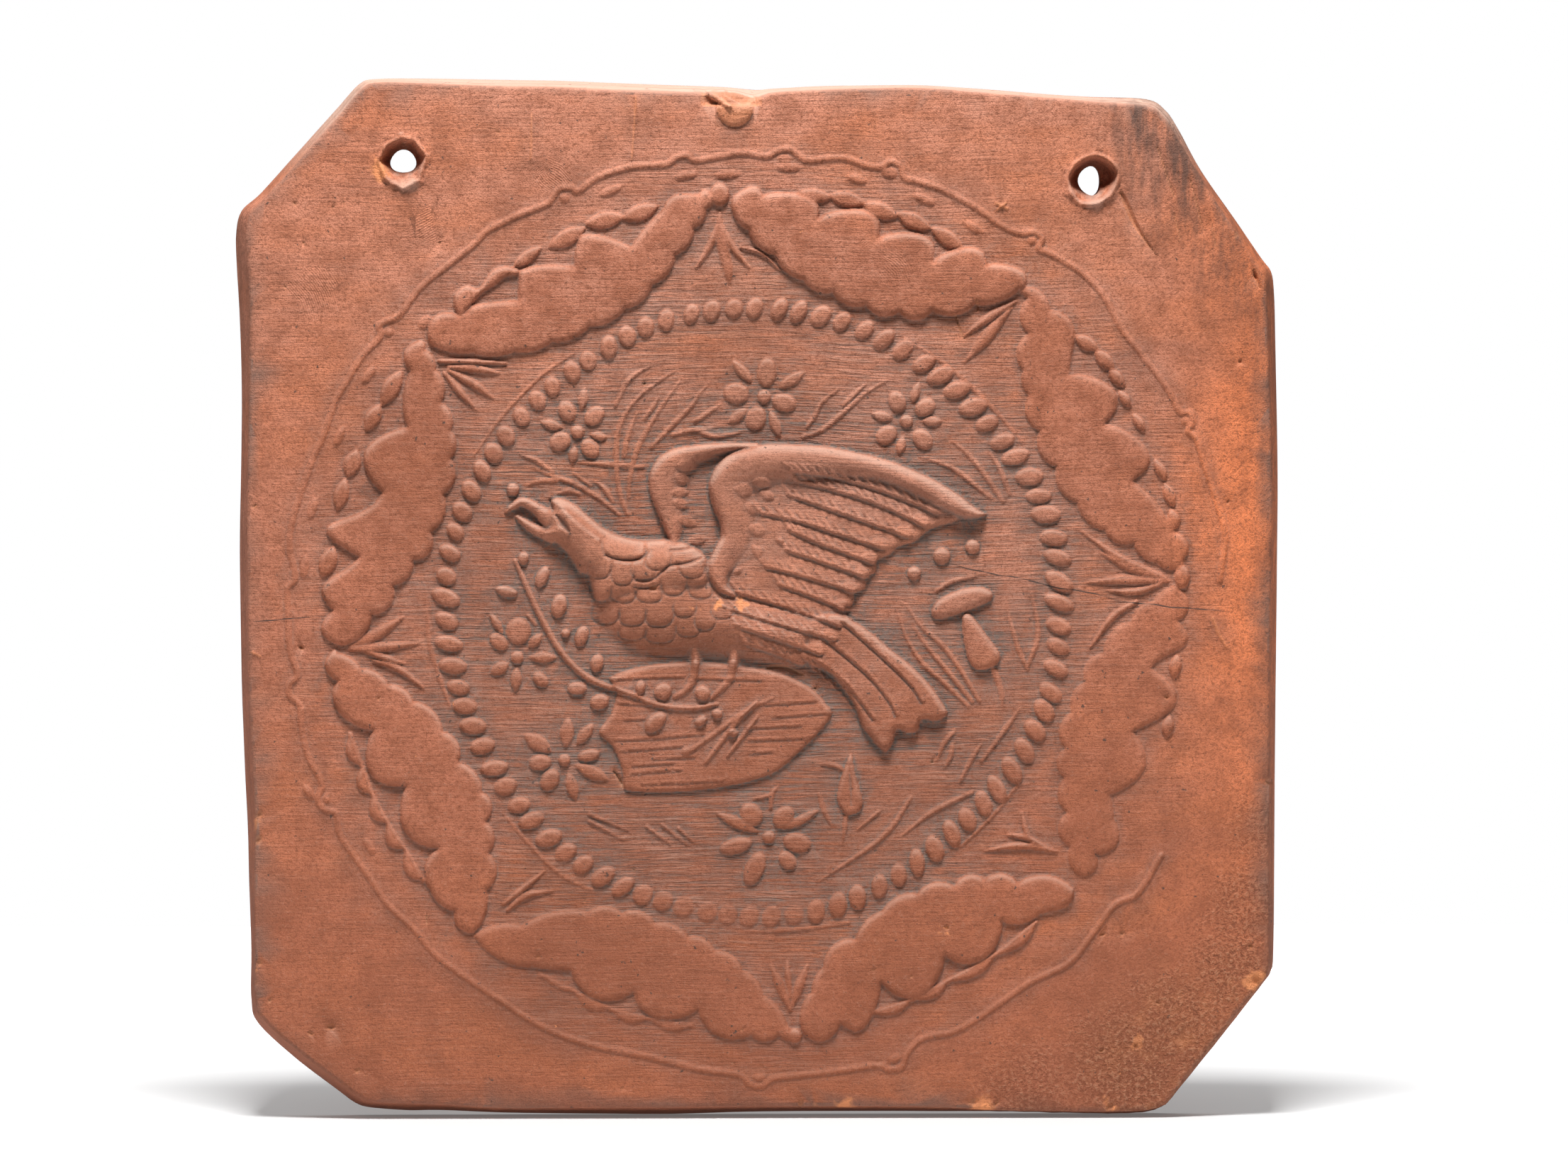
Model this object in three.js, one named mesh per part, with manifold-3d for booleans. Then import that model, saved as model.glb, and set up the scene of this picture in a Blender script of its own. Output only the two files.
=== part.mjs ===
// A moulded clay wall tile with cut corners, two hanging holes and an eagle in low relief.
// Millimetres. The tile stands upright: X to the right, Z up, and the relief faces -Y.
// The origin is the centre of the flat back face.
import * as THREE from "three";
import { mergeVertices } from "three/addons/utils/BufferGeometryUtils.js";
import Module from "manifold-3d";

const wasm = await Module();
wasm.setup();

// Slab
const THICKNESS = 16;
const EDGE_ROUND = 0.9;
const ROOT_DEPTH = 0.7;
const SIDE_STEPS = 4;
// Corners of the front, anticlockwise: x, z, then how far the side that follows bows outwards.
const FRONT_CORNERS = [
  [-92.6, -121.4, -0.7],
  [97.2, -122.6, 0.2],
  [122.9, -90.2, 0.7],
  [121.6, 77.6, -0.6],
  [95.6, 117.2, -0.7],
  [-93.6, 122.8, 1.0],
  [-122.0, 89.6, -0.5],
  [-120.1, -99.6, 0.1],
];
// How much further out the back is than the front, for the same corners.
const BACK_SPREAD = [
  [-0.9, -1.9],
  [0.5, -1.6],
  [1.6, -0.9],
  [2.4, 0.6],
  [0.5, 2.1],
  [-0.5, 1.5],
  [-1.5, 1.4],
  [-1.5, -1.2],
];
const CORNER_ROUND = 0.06;

// Hanging holes: centre, then half width and half height at the back and at the front.
const HOLES = [
  { x: -84.7, z: 104.4, back: [3.6, 3.1], front: [5.4, 5.8] },
  { x: 80.3, z: 99.9, back: [3.2, 3.8], front: [5.8, 5.7] },
];
const HOLE_SIDES = 8;
const HOLE_MOUTH = 5;
const HOLE_RIM = 1.5;
const HOLE_RIM_HEIGHT = 0.5;
const PAST = 3;

// Outer ring line
const RING_CENTRE = [0, -4.2];
const RING_RADIUS = 111.2;
const RING_HALF_WIDTH = 1.0;
const RING_HEIGHT = 0.9;
const RING_STEPS = 48;

// Festoons: start x z, end x z, sag towards the middle, lobes outside, scallops inside.
const FESTOONS = [
  [-12, 96, -80, 62, 16.0, 4, 11],
  [-81, 61, -103.5, -3, 19.0, 4, 11],
  [-101.5, -13, -70, -79, 16.8, 4, 12],
  [-67, -80, 9, -104.5, 17.0, 5, 12],
  [11, -104, 76, -71, 16.6, 5, 9],
  [80, -67, 102.5, -4, 18.4, 4, 9],
  [103, 6, 66.5, 73, 16.4, 4, 10],
  [65, 75, -4, 97, 17.6, 5, 11],
];
const FESTOON_HEIGHT = 2.4;
const FESTOON_ROUND = 1.5;
const LOBE_REACH = 4.6;
const SCALLOP_DEPTH = 1.5;
const FESTOON_BLUNT = 0.6;
const LEAVES_PER_FESTOON = 4;
const LEAF_OFFSET = 7.4;
const LEAF_SIZE = [1.7, 3.9, 1.2];
const LEAF_SIDES = 5;

// Knots and sprigs where two festoons meet: x, z, direction of the sprig in degrees, length.
const JUNCTIONS = [
  [-8.6, 97.5, -92, 19],
  [-79.5, 62.5, -24, 20],
  [-100.5, -7.5, -4, 17],
  [-69.5, -79.5, 34, 17],
  [9.6, -103.8, 92, 15],
  [78.5, -66, 148, 17],
  [101.5, 1.5, 186, 21],
  [66, 74.5, 222, 15],
];
const KNOT_SIZE = [4.3, 4.6, 2.2];
const SPRIG_FAN = [-24, 0, 24];
const SPRIG_LEAF_WIDTH = 1.3;
const SPRIG_LEAF_HEIGHT = 1.0;

// Oval of beads round the picture
const BEAD_CENTRE = [-1.0, -3.0];
const BEAD_RADII = [73.4, 72.9];
const BEAD_COUNT = 78;
const BEAD_SIZE = [1.8, 2.8, 1.5];
const BEAD_LEAN = -25;
const BEAD_SIDES = 5;

// Flowers: centre x z, turn in degrees, reach of the petals.
const FLOWERS = [
  [-43.0, 39.8, 8, 8.6],
  [1.7, 48.2, 0, 9.6],
  [35.8, 42.3, 10, 8.2],
  [-57.5, -14.3, -8, 8.8],
  [-46.2, -38.9, 4, 10.4],
  [2.8, -57.5, 0, 11.0],
];
const PETALS = 8;
const PETAL_HEIGHT = 1.5;
const EYE_RADIUS = 1.6;
// Half width, and half length and distance from the eye as shares of the flower's reach.
const ROUND_PETAL = { width: 2.1, length: 0.3, out: 0.62, sides: 6 };
const POINTED_PETAL = { width: 1.3, length: 0.38, out: 0.6, sides: 4 };

// Eagle
const NECK = [[-52.5, 19.2], [-46.5, 17.4], [-39.5, 12.2], [-32, 6.6], [-22, 2], [-12, -2]];
const NECK_WIDTHS = [2.2, 4.1, 5.6, 7.6, 9.2, 5.0];
const NECK_HEIGHT = 4.0;
const UPPER_BEAK = [[-50.5, 19.6], [-55, 22.6], [-59, 21.4]];
const UPPER_BEAK_WIDTHS = [1.8, 1.2, 0.5];
const LOWER_BEAK = [[-50.5, 16.2], [-54.6, 16.9], [-58, 19.7]];
const LOWER_BEAK_WIDTHS = [1.2, 1.1, 0.5];
const BEAK_HEIGHT = 2.6;
const BODY = { x: -18.5, z: -5.4, reach: [21.5, 9.4], turn: -8, height: 4.6 };
const NEAR_WING = [
  [-8.8, 2.2], [-9.3, 7.4], [-6, 13.6], [-8.2, 21], [-8, 28.4],
  [-1, 33.3], [12, 33.8], [27, 31.6], [40, 26.4], [53.4, 20.2],
];
const NEAR_WING_WIDTHS = [1.0, 2.2, 1.9, 2.4, 3.2, 3.4, 3.0, 2.7, 3.0, 0.5];
const NEAR_WING_HEIGHT = 3.3;
const WING_WEB = [
  [-6, 1], [20.5, -1.6], [25, 5], [28, 11], [36, 17],
  [44, 21], [34, 28.5], [10, 31.5], [-5, 29], [-5.5, 16],
];
const WING_WEB_HEIGHT = 1.5;
const WEB_ROUND = 1;
const FAR_WING = [[-20, 14], [-22.4, 20.5], [-23.8, 27], [-20.6, 33], [-13, 35.6], [-1, 36.4]];
const FAR_WING_WIDTHS = [0.8, 1.8, 2.4, 2.3, 1.3, 0.5];
const FAR_WING_HEIGHT = 2.6;
const FEATHER_HEIGHT = 2.5;
const BODY_FEATHER_HEIGHT = 3.7;
const FEATHER_WIDTHS = [1.0, 1.4];
// Wing feathers: root x z, tip x z.
const WING_FEATHERS = [
  [12, 29, 43.3, 18.9],
  [10, 25.6, 39, 15.8],
  [8, 21.6, 33.3, 13],
  [8, 17, 29, 10.6],
  [6.5, 12, 27.6, 6.9],
  [3, 7, 25.2, 3.1],
  [-2, 2.8, 22, -1.2],
];
// Feathers that lie over the body: root x z, tip x z.
const BODY_FEATHERS = [
  [-6, 0, 19.6, -6.6],
  [-9, -4, 18.2, -8.9],
  [-7, -8, 14.6, -12.6],
  [-5, -11, 10.6, -15.2],
];
// Tail feathers: root, bend and tip.
const TAIL = [
  [[15, -5.4], [31, -14], [44.6, -27.6]],
  [[12, -9], [26, -17], [36.6, -31.4]],
  [[9, -13], [21.6, -20], [29.8, -34.4]],
];
const TAIL_WIDTHS = [1.8, 3.2, 3.6];
const TAIL_HEIGHT = 3.2;
const LEGS = [
  [[-14.6, -15], [-15, -19], [-19.2, -23.8]],
  [[-5.4, -14.6], [-6, -19], [-10.3, -23.9]],
];
const LEG_WIDTHS = [2.1, 1.1, 0.7];
const LEG_HEIGHT = 3.4;

// Shield under the eagle, and the raised lines across it
const SHIELD = [
  [-35.3, -19.2], [-37.6, -32.2], [-31.8, -45.4], [-12, -46], [5.6, -40.8],
  [18, -27.4], [12, -21], [1.5, -17.2], [-17, -15.6],
];
const SHIELD_HEIGHT = 1.9;
const SHIELD_ROUND = 1.3;
const SHIELD_MIDDLE = -9;
const SHIELD_LINES = [-19, -25.4, -30, -34, -37.5, -41.4];
const SHIELD_LINE_HEIGHT = 2.5;

// Branch that crosses the shield's edge
const BRANCH = [
  [-58, 8.6], [-54.6, 1], [-49.4, -9.4], [-41.4, -18.6], [-33.7, -22], [-23.7, -25.6], [-9.6, -25.5],
];
const BRANCH_HALF_WIDTH = 0.6;
const BRANCH_HEIGHT = 2.8;
// Its leaves: x, z, half width, half length, turn in degrees.
const BRANCH_LEAVES = [
  [-47.5, -2, 1.8, 2.8, -8],
  [-42.1, -9.2, 1.5, 2.6, -18],
  [-38.4, -15.7, 1.4, 2.2, -10],
  [-43.2, -21.7, 1.5, 2.3, -86],
  [-37.8, -24.9, 1.9, 2.3, -76],
  [-28, -21.5, 1.2, 1.8, 10],
  [-22.6, -22.4, 1.9, 2.1, 20],
  [-13.1, -22.8, 1.5, 1.9, 40],
  [-24.4, -29.8, 1.8, 3.2, -42],
  [-60, 1.5, 1.3, 2.7, 76],
  [-51.5, 5, 1.2, 2.4, -24],
];
const BRANCH_LEAF_HEIGHT = 2.6;

// Bean, bud, the three round studs by the wing, and the bump on the top edge
const BEAN = [[42.6, -3.4], [48, -1.4], [56, 1]];
const BEAN_WIDTHS = [1.6, 2.9, 1.2];
const BUD = [[49.8, -4.6], [53.2, -9.6], [55, -15.4]];
const BUD_WIDTHS = [0.8, 3.5, 2.4];
const SEED_HEIGHT = 2.8;
const STUDS = [[-58.5, 26, 1.5], [37.7, 5.8, 1.7], [44.3, 10, 2.1], [51.7, 12.2, 1.8], [-5.3, 116.4, 3.6]];
const STUD_HEIGHT = 1.5;

// How far bosses and domes draw in towards their tops
const BOSS_CROWN = 0.6;
const DOME_SHOULDER = 0.88;
const DOME_SHOULDER_RISE = 0.6;
const DOME_CROWN = 0.5;

const FRONT = -THICKNESS;
const degrees = Math.PI / 180;

/** A closed solid through rings of points, the first at the back and the last at the front. */
function loft(rings) {
  const count = rings[0].length;
  const positions = rings.flat().flatMap((p) => [p.x, p.y, p.z]);
  const faces = [];
  for (let r = 0; r + 1 < rings.length; r++) {
    for (let i = 0; i < count; i++) {
      const j = (i + 1) % count;
      const back = r * count;
      const front = back + count;
      faces.push([back + i, back + j, front + j], [back + i, front + j, front + i]);
    }
  }
  const flat = rings[0].map((p) => new THREE.Vector2(p.x, p.z));
  const lid = rings.at(-1).map((p) => new THREE.Vector2(p.x, p.z));
  const last = (rings.length - 1) * count;
  for (const [a, b, c] of THREE.ShapeUtils.triangulateShape(flat, [])) faces.push([c, b, a]);
  for (const [a, b, c] of THREE.ShapeUtils.triangulateShape(lid, [])) {
    faces.push([last + a, last + b, last + c]);
  }
  return solid(positions, faces);
}

/** A manifold solid from a list of coordinates and triangles. */
function solid(positions, faces) {
  const geometry = new THREE.BufferGeometry();
  geometry.setAttribute("position", new THREE.Float32BufferAttribute(positions, 3));
  geometry.setIndex(faces.flat());
  const merged = mergeVertices(geometry, 1e-5);
  return new wasm.Manifold(
    new wasm.Mesh({
      numProp: 3,
      vertProperties: new Float32Array(merged.attributes.position.array),
      triVerts: new Uint32Array(merged.index.array),
    }),
  );
}

/** Points of an oval at depth y, anticlockwise seen from the front. */
function oval(x, z, halfWidth, halfLength, turn, y, sides) {
  const points = [];
  for (let i = 0; i < sides; i++) {
    const a = (2 * Math.PI * i) / sides;
    const u = halfWidth * Math.cos(a);
    const v = halfLength * Math.sin(a);
    const c = Math.cos(turn * degrees);
    const s = Math.sin(turn * degrees);
    points.push(new THREE.Vector3(x + u * c - v * s, y, z + u * s + v * c));
  }
  return points;
}

/** A small raised boss with sloping sides, such as a bead, petal or leaf: its size is at the face. */
function boss(x, z, halfWidth, halfLength, turn, height, sides) {
  const level = (scale, y) => oval(x, z, halfWidth * scale, halfLength * scale, turn, y, sides);
  const foot = 1 + ((1 - BOSS_CROWN) * ROOT_DEPTH) / height;
  return loft([level(foot, FRONT + ROOT_DEPTH), level(BOSS_CROWN, FRONT - height)]);
}

/** A larger raised boss with a rounded shoulder. */
function dome(x, z, halfWidth, halfLength, turn, height, sides) {
  const level = (scale, y) => oval(x, z, halfWidth * scale, halfLength * scale, turn, y, sides);
  return loft([
    level(1, FRONT + ROOT_DEPTH),
    level(DOME_SHOULDER, FRONT - height * DOME_SHOULDER_RISE),
    level(DOME_CROWN, FRONT - height),
  ]);
}

/** Even steps along a smooth curve through points given as x, z. */
function curve(points, steps) {
  const path = new THREE.CatmullRomCurve3(points.map(([x, z]) => new THREE.Vector3(x, 0, z)));
  return { path, at: (i) => path.getPoint(i / steps), along: (i) => path.getTangent(i / steps) };
}

/** A value along a list, blended between its neighbours. */
function blend(values, t) {
  const place = t * (values.length - 1);
  const low = Math.min(Math.floor(place), values.length - 2);
  return THREE.MathUtils.lerp(values[low], values[low + 1], place - low);
}

/** A raised ridge along a curve, with its half widths along it: where it narrows it is lower. */
function ridge(points, halfWidths, height, steps) {
  const widest = Math.max(...halfWidths);
  const { at, along } = curve(points, steps);
  const positions = [];
  const faces = [];
  const section = [[-1, -ROOT_DEPTH], [-0.72, 0.72], [0, 1], [0.72, 0.72], [1, -ROOT_DEPTH]];
  for (let i = 0; i <= steps; i++) {
    const p = at(i);
    const t = along(i);
    const half = blend(halfWidths, i / steps);
    for (const [across, up] of section) {
      const rise = up > 0 ? (up * height * (1 + half / widest)) / 2 : up;
      positions.push(p.x - t.z * across * half, FRONT - rise, p.z + t.x * across * half);
    }
  }
  const n = section.length;
  for (let i = 0; i < steps; i++) {
    for (let k = 0; k < n; k++) {
      const a = i * n + k;
      const b = i * n + ((k + 1) % n);
      faces.push([a, a + n, b + n], [a, b + n, b]);
    }
  }
  for (let k = 1; k + 1 < n; k++) {
    faces.push([0, k, k + 1], [steps * n, steps * n + k + 1, steps * n + k]);
  }
  return solid(positions, faces);
}

/** A raised plate with a rounded edge, through points given as x, z, anticlockwise. */
function plate(points, height, round, steps) {
  const path = new THREE.CatmullRomCurve3(points.map(([x, z]) => new THREE.Vector3(x, 0, z)), true);
  const rim = path.getSpacedPoints(steps).slice(0, steps);
  return bevelled(rim, (i) => rim[i].clone().sub(edgeNormal(rim, i).multiplyScalar(round)), height);
}

/** Outward direction of a closed outline at one of its points. */
function edgeNormal(rim, i) {
  const before = rim[(i + rim.length - 1) % rim.length];
  const after = rim[(i + 1) % rim.length];
  return new THREE.Vector3(after.z - before.z, 0, before.x - after.x).normalize();
}

/** A solid from an outline whose top edge is drawn in to the points that inset gives. */
function bevelled(rim, inset, height) {
  const level = (points, y) => points.map((p) => new THREE.Vector3(p.x, y, p.z));
  const drawn = rim.map((p, i) => inset(i));
  return loft([
    level(rim, FRONT + ROOT_DEPTH),
    level(rim, FRONT - height * 0.45),
    level(drawn, FRONT - height),
  ]);
}

/** The outline of the slab: rounded corners joined by sides that bow a little. */
function slabOutline(spread) {
  const corners = FRONT_CORNERS.map(([x, z, bow], i) => ({
    p: new THREE.Vector2(x + spread * BACK_SPREAD[i][0], z + spread * BACK_SPREAD[i][1]),
    bow,
  }));
  const outline = [];
  corners.forEach(({ p, bow }, i) => {
    const next = corners[(i + 1) % corners.length].p;
    const side = next.clone().sub(p);
    const out = new THREE.Vector2(side.y, -side.x).normalize();
    const steps = side.length() > 100 ? SIDE_STEPS : 2;
    for (let k = 0; k <= steps; k++) {
      const t = THREE.MathUtils.lerp(CORNER_ROUND, 1 - CORNER_ROUND, k / steps);
      const lift = bow * 4 * t * (1 - t);
      outline.push(p.clone().addScaledVector(side, t).addScaledVector(out, lift));
    }
    const along = next.clone().sub(corners[(i + 2) % corners.length].p).normalize();
    const cut = side.clone().normalize().add(along).multiplyScalar(-0.35);
    outline.push(next.clone().addScaledVector(cut, CORNER_ROUND * 28));
  });
  return outline;
}

/** The slab with its spreading sides and softened front edge. */
function slab() {
  const level = (points, y) => points.map((p) => new THREE.Vector3(p.x, y, p.y));
  const front = slabOutline(0.06);
  const face = front.map((p) => p.clone().multiplyScalar(1 - EDGE_ROUND / 122));
  return loft([
    level(slabOutline(1), 0),
    level(slabOutline(0.55), FRONT * 0.5),
    level(front, FRONT + EDGE_ROUND),
    level(face, FRONT),
  ]);
}

/** The cutter for one hanging hole, wider at the front where the clay was pushed open. */
function holeCutter({ x, z, back, front }) {
  const ring = (size, y) => oval(x, z, size[0], size[1], 0, y, HOLE_SIDES);
  return loft([
    ring(back, PAST),
    ring(back, FRONT + HOLE_MOUTH),
    ring(front, FRONT),
    ring(front, FRONT - PAST),
  ]);
}

/** The burr of clay round one hanging hole. */
function holeRim({ x, z, front }) {
  const ring = (grow, y) => oval(x, z, front[0] + grow, front[1] + grow, 0, y, HOLE_SIDES);
  return loft([
    ring(HOLE_RIM, FRONT + ROOT_DEPTH),
    ring(HOLE_RIM, FRONT),
    ring(HOLE_RIM * 0.3, FRONT - HOLE_RIM_HEIGHT),
  ]);
}

/** The thin raised line that runs round inside the border. */
function ringLine() {
  const section = [[-1, -ROOT_DEPTH], [0, RING_HEIGHT], [1, -ROOT_DEPTH]];
  const positions = [];
  const faces = [];
  const n = section.length;
  for (let i = 0; i < RING_STEPS; i++) {
    const a = (2 * Math.PI * i) / RING_STEPS;
    for (const [across, up] of section) {
      const r = RING_RADIUS + across * RING_HALF_WIDTH;
      positions.push(RING_CENTRE[0] + r * Math.cos(a), FRONT - up, RING_CENTRE[1] + r * Math.sin(a));
    }
    const next = ((i + 1) % RING_STEPS) * n;
    for (let k = 0; k < n; k++) {
      const j = (k + 1) % n;
      faces.push([i * n + k, i * n + j, next + j], [i * n + k, next + j, next + k]);
    }
  }
  return solid(positions, faces);
}

/** A point of a festoon: t runs from its start to its end, sag is measured from the chord. */
function festoonPoint([x0, z0, x1, z1], t, sag) {
  const from = new THREE.Vector3(x0, 0, z0);
  const chord = new THREE.Vector3(x1 - x0, 0, z1 - z0);
  const inward = new THREE.Vector3(-chord.z, 0, chord.x).normalize();
  return from.addScaledVector(chord, t).addScaledVector(inward, sag);
}

/** One festoon: scallops on the edge that sags inwards, and big lobes on the other edge. */
function festoon(row) {
  const [, , , , sag, lobes, scallops] = row;
  const hang = (t) => sag * Math.sin(Math.PI * t) ** FESTOON_BLUNT;
  const inner = (t, draw) => hang(t) - draw - SCALLOP_DEPTH * (1 - Math.abs(Math.sin(Math.PI * scallops * t)));
  const outer = (t, draw) => draw - LOBE_REACH * Math.abs(Math.sin(Math.PI * lobes * t)) ** 0.7;
  const rim = [];
  const drawn = [];
  const add = (t, sagAt) => {
    const end = THREE.MathUtils.clamp(t, 0.02, 0.98);
    rim.push(festoonPoint(row, t, sagAt(t, 0)));
    drawn.push(festoonPoint(row, end, sagAt(end, FESTOON_ROUND)));
  };
  const outerSteps = lobes * 3;
  const innerSteps = scallops * 2;
  for (let i = 0; i <= outerSteps; i++) add(i / outerSteps, outer);
  for (let i = innerSteps - 1; i > 0; i--) add(i / innerSteps, (t, d) => Math.max(inner(t, d), 0.5 + d));
  return bevelled(rim, (i) => drawn[i], FESTOON_HEIGHT);
}

/** The leaves that lie in a string outside one festoon. */
function festoonLeaves(row) {
  const leaves = [];
  const [x0, z0, x1, z1] = row;
  const lean = Math.atan2(z1 - z0, x1 - x0) / degrees + 90;
  for (let i = 0; i < LEAVES_PER_FESTOON; i++) {
    const t = 0.26 + (0.56 * i) / (LEAVES_PER_FESTOON - 1);
    const p = festoonPoint(row, t, -LEAF_OFFSET);
    leaves.push(boss(p.x, p.z, LEAF_SIZE[0], LEAF_SIZE[1], lean + 8, LEAF_SIZE[2], LEAF_SIDES));
  }
  return leaves;
}

/** A knot between two festoons and the sprig of three leaves that points inwards from it. */
function junction([x, z, direction, length]) {
  const [halfWidth, halfLength, height] = KNOT_SIZE;
  const parts = [dome(x, z, halfWidth, halfLength, direction, height, 8)];
  for (const turn of SPRIG_FAN) {
    const a = (direction + turn) * degrees;
    const reach = length * (turn ? 0.52 : 0.6);
    const px = x + reach * Math.cos(a);
    const pz = z + reach * Math.sin(a);
    parts.push(boss(px, pz, length * 0.4, SPRIG_LEAF_WIDTH, direction + turn, SPRIG_LEAF_HEIGHT, 4));
  }
  return parts;
}

/** The beads that run round the picture, each leaning across the line. */
function beads() {
  const made = [];
  const [halfWidth, halfLength, height] = BEAD_SIZE;
  for (let i = 0; i < BEAD_COUNT; i++) {
    const a = (360 * i) / BEAD_COUNT;
    const x = BEAD_CENTRE[0] + BEAD_RADII[0] * Math.cos(a * degrees);
    const z = BEAD_CENTRE[1] + BEAD_RADII[1] * Math.sin(a * degrees);
    made.push(boss(x, z, halfWidth, halfLength, a - 90 + BEAD_LEAN, height, BEAD_SIDES));
  }
  return made;
}

/** A flower: a round eye, and petals that are by turns round and pointed. */
function flower([x, z, turn, reach]) {
  const parts = [boss(x, z, EYE_RADIUS, EYE_RADIUS, 0, PETAL_HEIGHT, 7)];
  for (let i = 0; i < PETALS; i++) {
    const { width, length, out, sides } = i % 2 ? POINTED_PETAL : ROUND_PETAL;
    const a = turn + (360 * i) / PETALS + 55;
    const px = x + reach * out * Math.cos(a * degrees);
    const pz = z + reach * out * Math.sin(a * degrees);
    parts.push(boss(px, pz, reach * length, width, a, PETAL_HEIGHT, sides));
  }
  return parts;
}

/** The eagle's head, body, wings, feathers, tail and legs. */
function eagle() {
  const { x, z, reach, turn, height } = BODY;
  const feather = ([x0, z0, x1, z1], rise) => ridge([[x0, z0], [x1, z1]], FEATHER_WIDTHS, rise, 1);
  return [
    dome(x, z, reach[0], reach[1], turn, height, 16),
    ridge(NECK, NECK_WIDTHS, NECK_HEIGHT, 7),
    ridge(UPPER_BEAK, UPPER_BEAK_WIDTHS, BEAK_HEIGHT, 3),
    ridge(LOWER_BEAK, LOWER_BEAK_WIDTHS, BEAK_HEIGHT, 3),
    ridge(FAR_WING, FAR_WING_WIDTHS, FAR_WING_HEIGHT, 8),
    plate(WING_WEB, WING_WEB_HEIGHT, WEB_ROUND, 14),
    ridge(NEAR_WING, NEAR_WING_WIDTHS, NEAR_WING_HEIGHT, 12),
    ...WING_FEATHERS.map((row) => feather(row, FEATHER_HEIGHT)),
    ...BODY_FEATHERS.map((row) => feather(row, BODY_FEATHER_HEIGHT)),
    ...TAIL.map((points) => ridge(points, TAIL_WIDTHS, TAIL_HEIGHT, 4)),
    ...LEGS.map((points) => ridge(points, LEG_WIDTHS, LEG_HEIGHT, 3)),
  ];
}

/** The shield that the eagle stands on, with its raised lines. */
function shield() {
  const parts = [plate(SHIELD, SHIELD_HEIGHT, SHIELD_ROUND, 20)];
  for (const z of SHIELD_LINES) {
    const half = Math.sqrt(1 - ((z + 30) / 18) ** 2);
    const line = [[SHIELD_MIDDLE - 22 * half, z], [SHIELD_MIDDLE + 20 * half, z + 1.2]];
    parts.push(ridge(line, [0.4, 0.4], SHIELD_LINE_HEIGHT, 1));
  }
  return parts;
}

/** The branch beside the eagle and its leaves. */
function branch() {
  return [
    ridge(BRANCH, [BRANCH_HALF_WIDTH, BRANCH_HALF_WIDTH], BRANCH_HEIGHT, 9),
    ...BRANCH_LEAVES.map(([x, z, w, l, turn]) => boss(x, z, w, l, turn, BRANCH_LEAF_HEIGHT, LEAF_SIDES)),
  ];
}

/** The bean, the bud and the round studs. */
function seeds() {
  return [
    ridge(BEAN, BEAN_WIDTHS, SEED_HEIGHT, 5),
    ridge(BUD, BUD_WIDTHS, SEED_HEIGHT, 5),
    ...STUDS.map(([x, z, r]) => dome(x, z, r, r, 0, STUD_HEIGHT, 7)),
  ];
}

/** The whole tile as one body of clay. */
function tileSolid() {
  const raised = [
    ringLine(),
    ...HOLES.map(holeRim),
    ...FESTOONS.map(festoon),
    ...FESTOONS.flatMap(festoonLeaves),
    ...JUNCTIONS.flatMap(junction),
    ...beads(),
    ...FLOWERS.flatMap(flower),
    ...shield(),
    ...branch(),
    ...seeds(),
    ...eagle(),
  ];
  let body = slab();
  for (const part of raised) body = body.add(part);
  for (const hole of HOLES) body = body.subtract(holeCutter(hole));
  return body;
}

/** Turns a manifold solid into a three.js geometry. */
function geometryOf(body) {
  const mesh = body.getMesh();
  const geometry = new THREE.BufferGeometry();
  geometry.setAttribute("position", new THREE.Float32BufferAttribute(mesh.vertProperties, 3));
  geometry.setIndex(Array.from(mesh.triVerts));
  return mergeVertices(geometry, 1e-4);
}

/** Fired clay: matt, red-brown. */
function terracotta() {
  return new THREE.MeshStandardMaterial({ color: 0xa9634a, roughness: 0.86, metalness: 0 });
}

const tile = new THREE.Mesh(geometryOf(tileSolid()), terracotta());
tile.name = "eagle_tile";
const group = new THREE.Group();
group.name = "eagle_tile_part";
group.add(tile);

export default group;
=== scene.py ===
"""A moulded terracotta wall tile: an eagle on a shield, ringed by beads and scalloped festoons."""

import logging
import math
from dataclasses import dataclass, field
from enum import Enum
from typing import Sequence

import bpy
import numpy as np
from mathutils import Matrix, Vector
from mathutils.geometry import delaunay_2d_cdt


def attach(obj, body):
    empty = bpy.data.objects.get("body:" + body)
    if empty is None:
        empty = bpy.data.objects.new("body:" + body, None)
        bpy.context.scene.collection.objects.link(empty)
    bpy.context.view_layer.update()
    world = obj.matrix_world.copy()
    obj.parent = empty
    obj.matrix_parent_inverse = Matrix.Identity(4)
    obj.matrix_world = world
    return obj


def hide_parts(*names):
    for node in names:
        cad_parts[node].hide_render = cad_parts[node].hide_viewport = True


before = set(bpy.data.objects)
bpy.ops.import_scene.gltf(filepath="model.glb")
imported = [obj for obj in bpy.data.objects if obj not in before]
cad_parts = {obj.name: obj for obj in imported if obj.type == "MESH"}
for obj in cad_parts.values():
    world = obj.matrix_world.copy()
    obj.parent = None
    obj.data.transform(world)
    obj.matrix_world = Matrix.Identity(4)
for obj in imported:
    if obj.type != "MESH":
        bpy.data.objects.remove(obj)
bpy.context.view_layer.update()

log = logging.getLogger("eagle_tile")

MM = 0.001
SLAB = 16.0  # thickness of the slab, in millimetres like every other size here
Row = Sequence[float]

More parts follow.
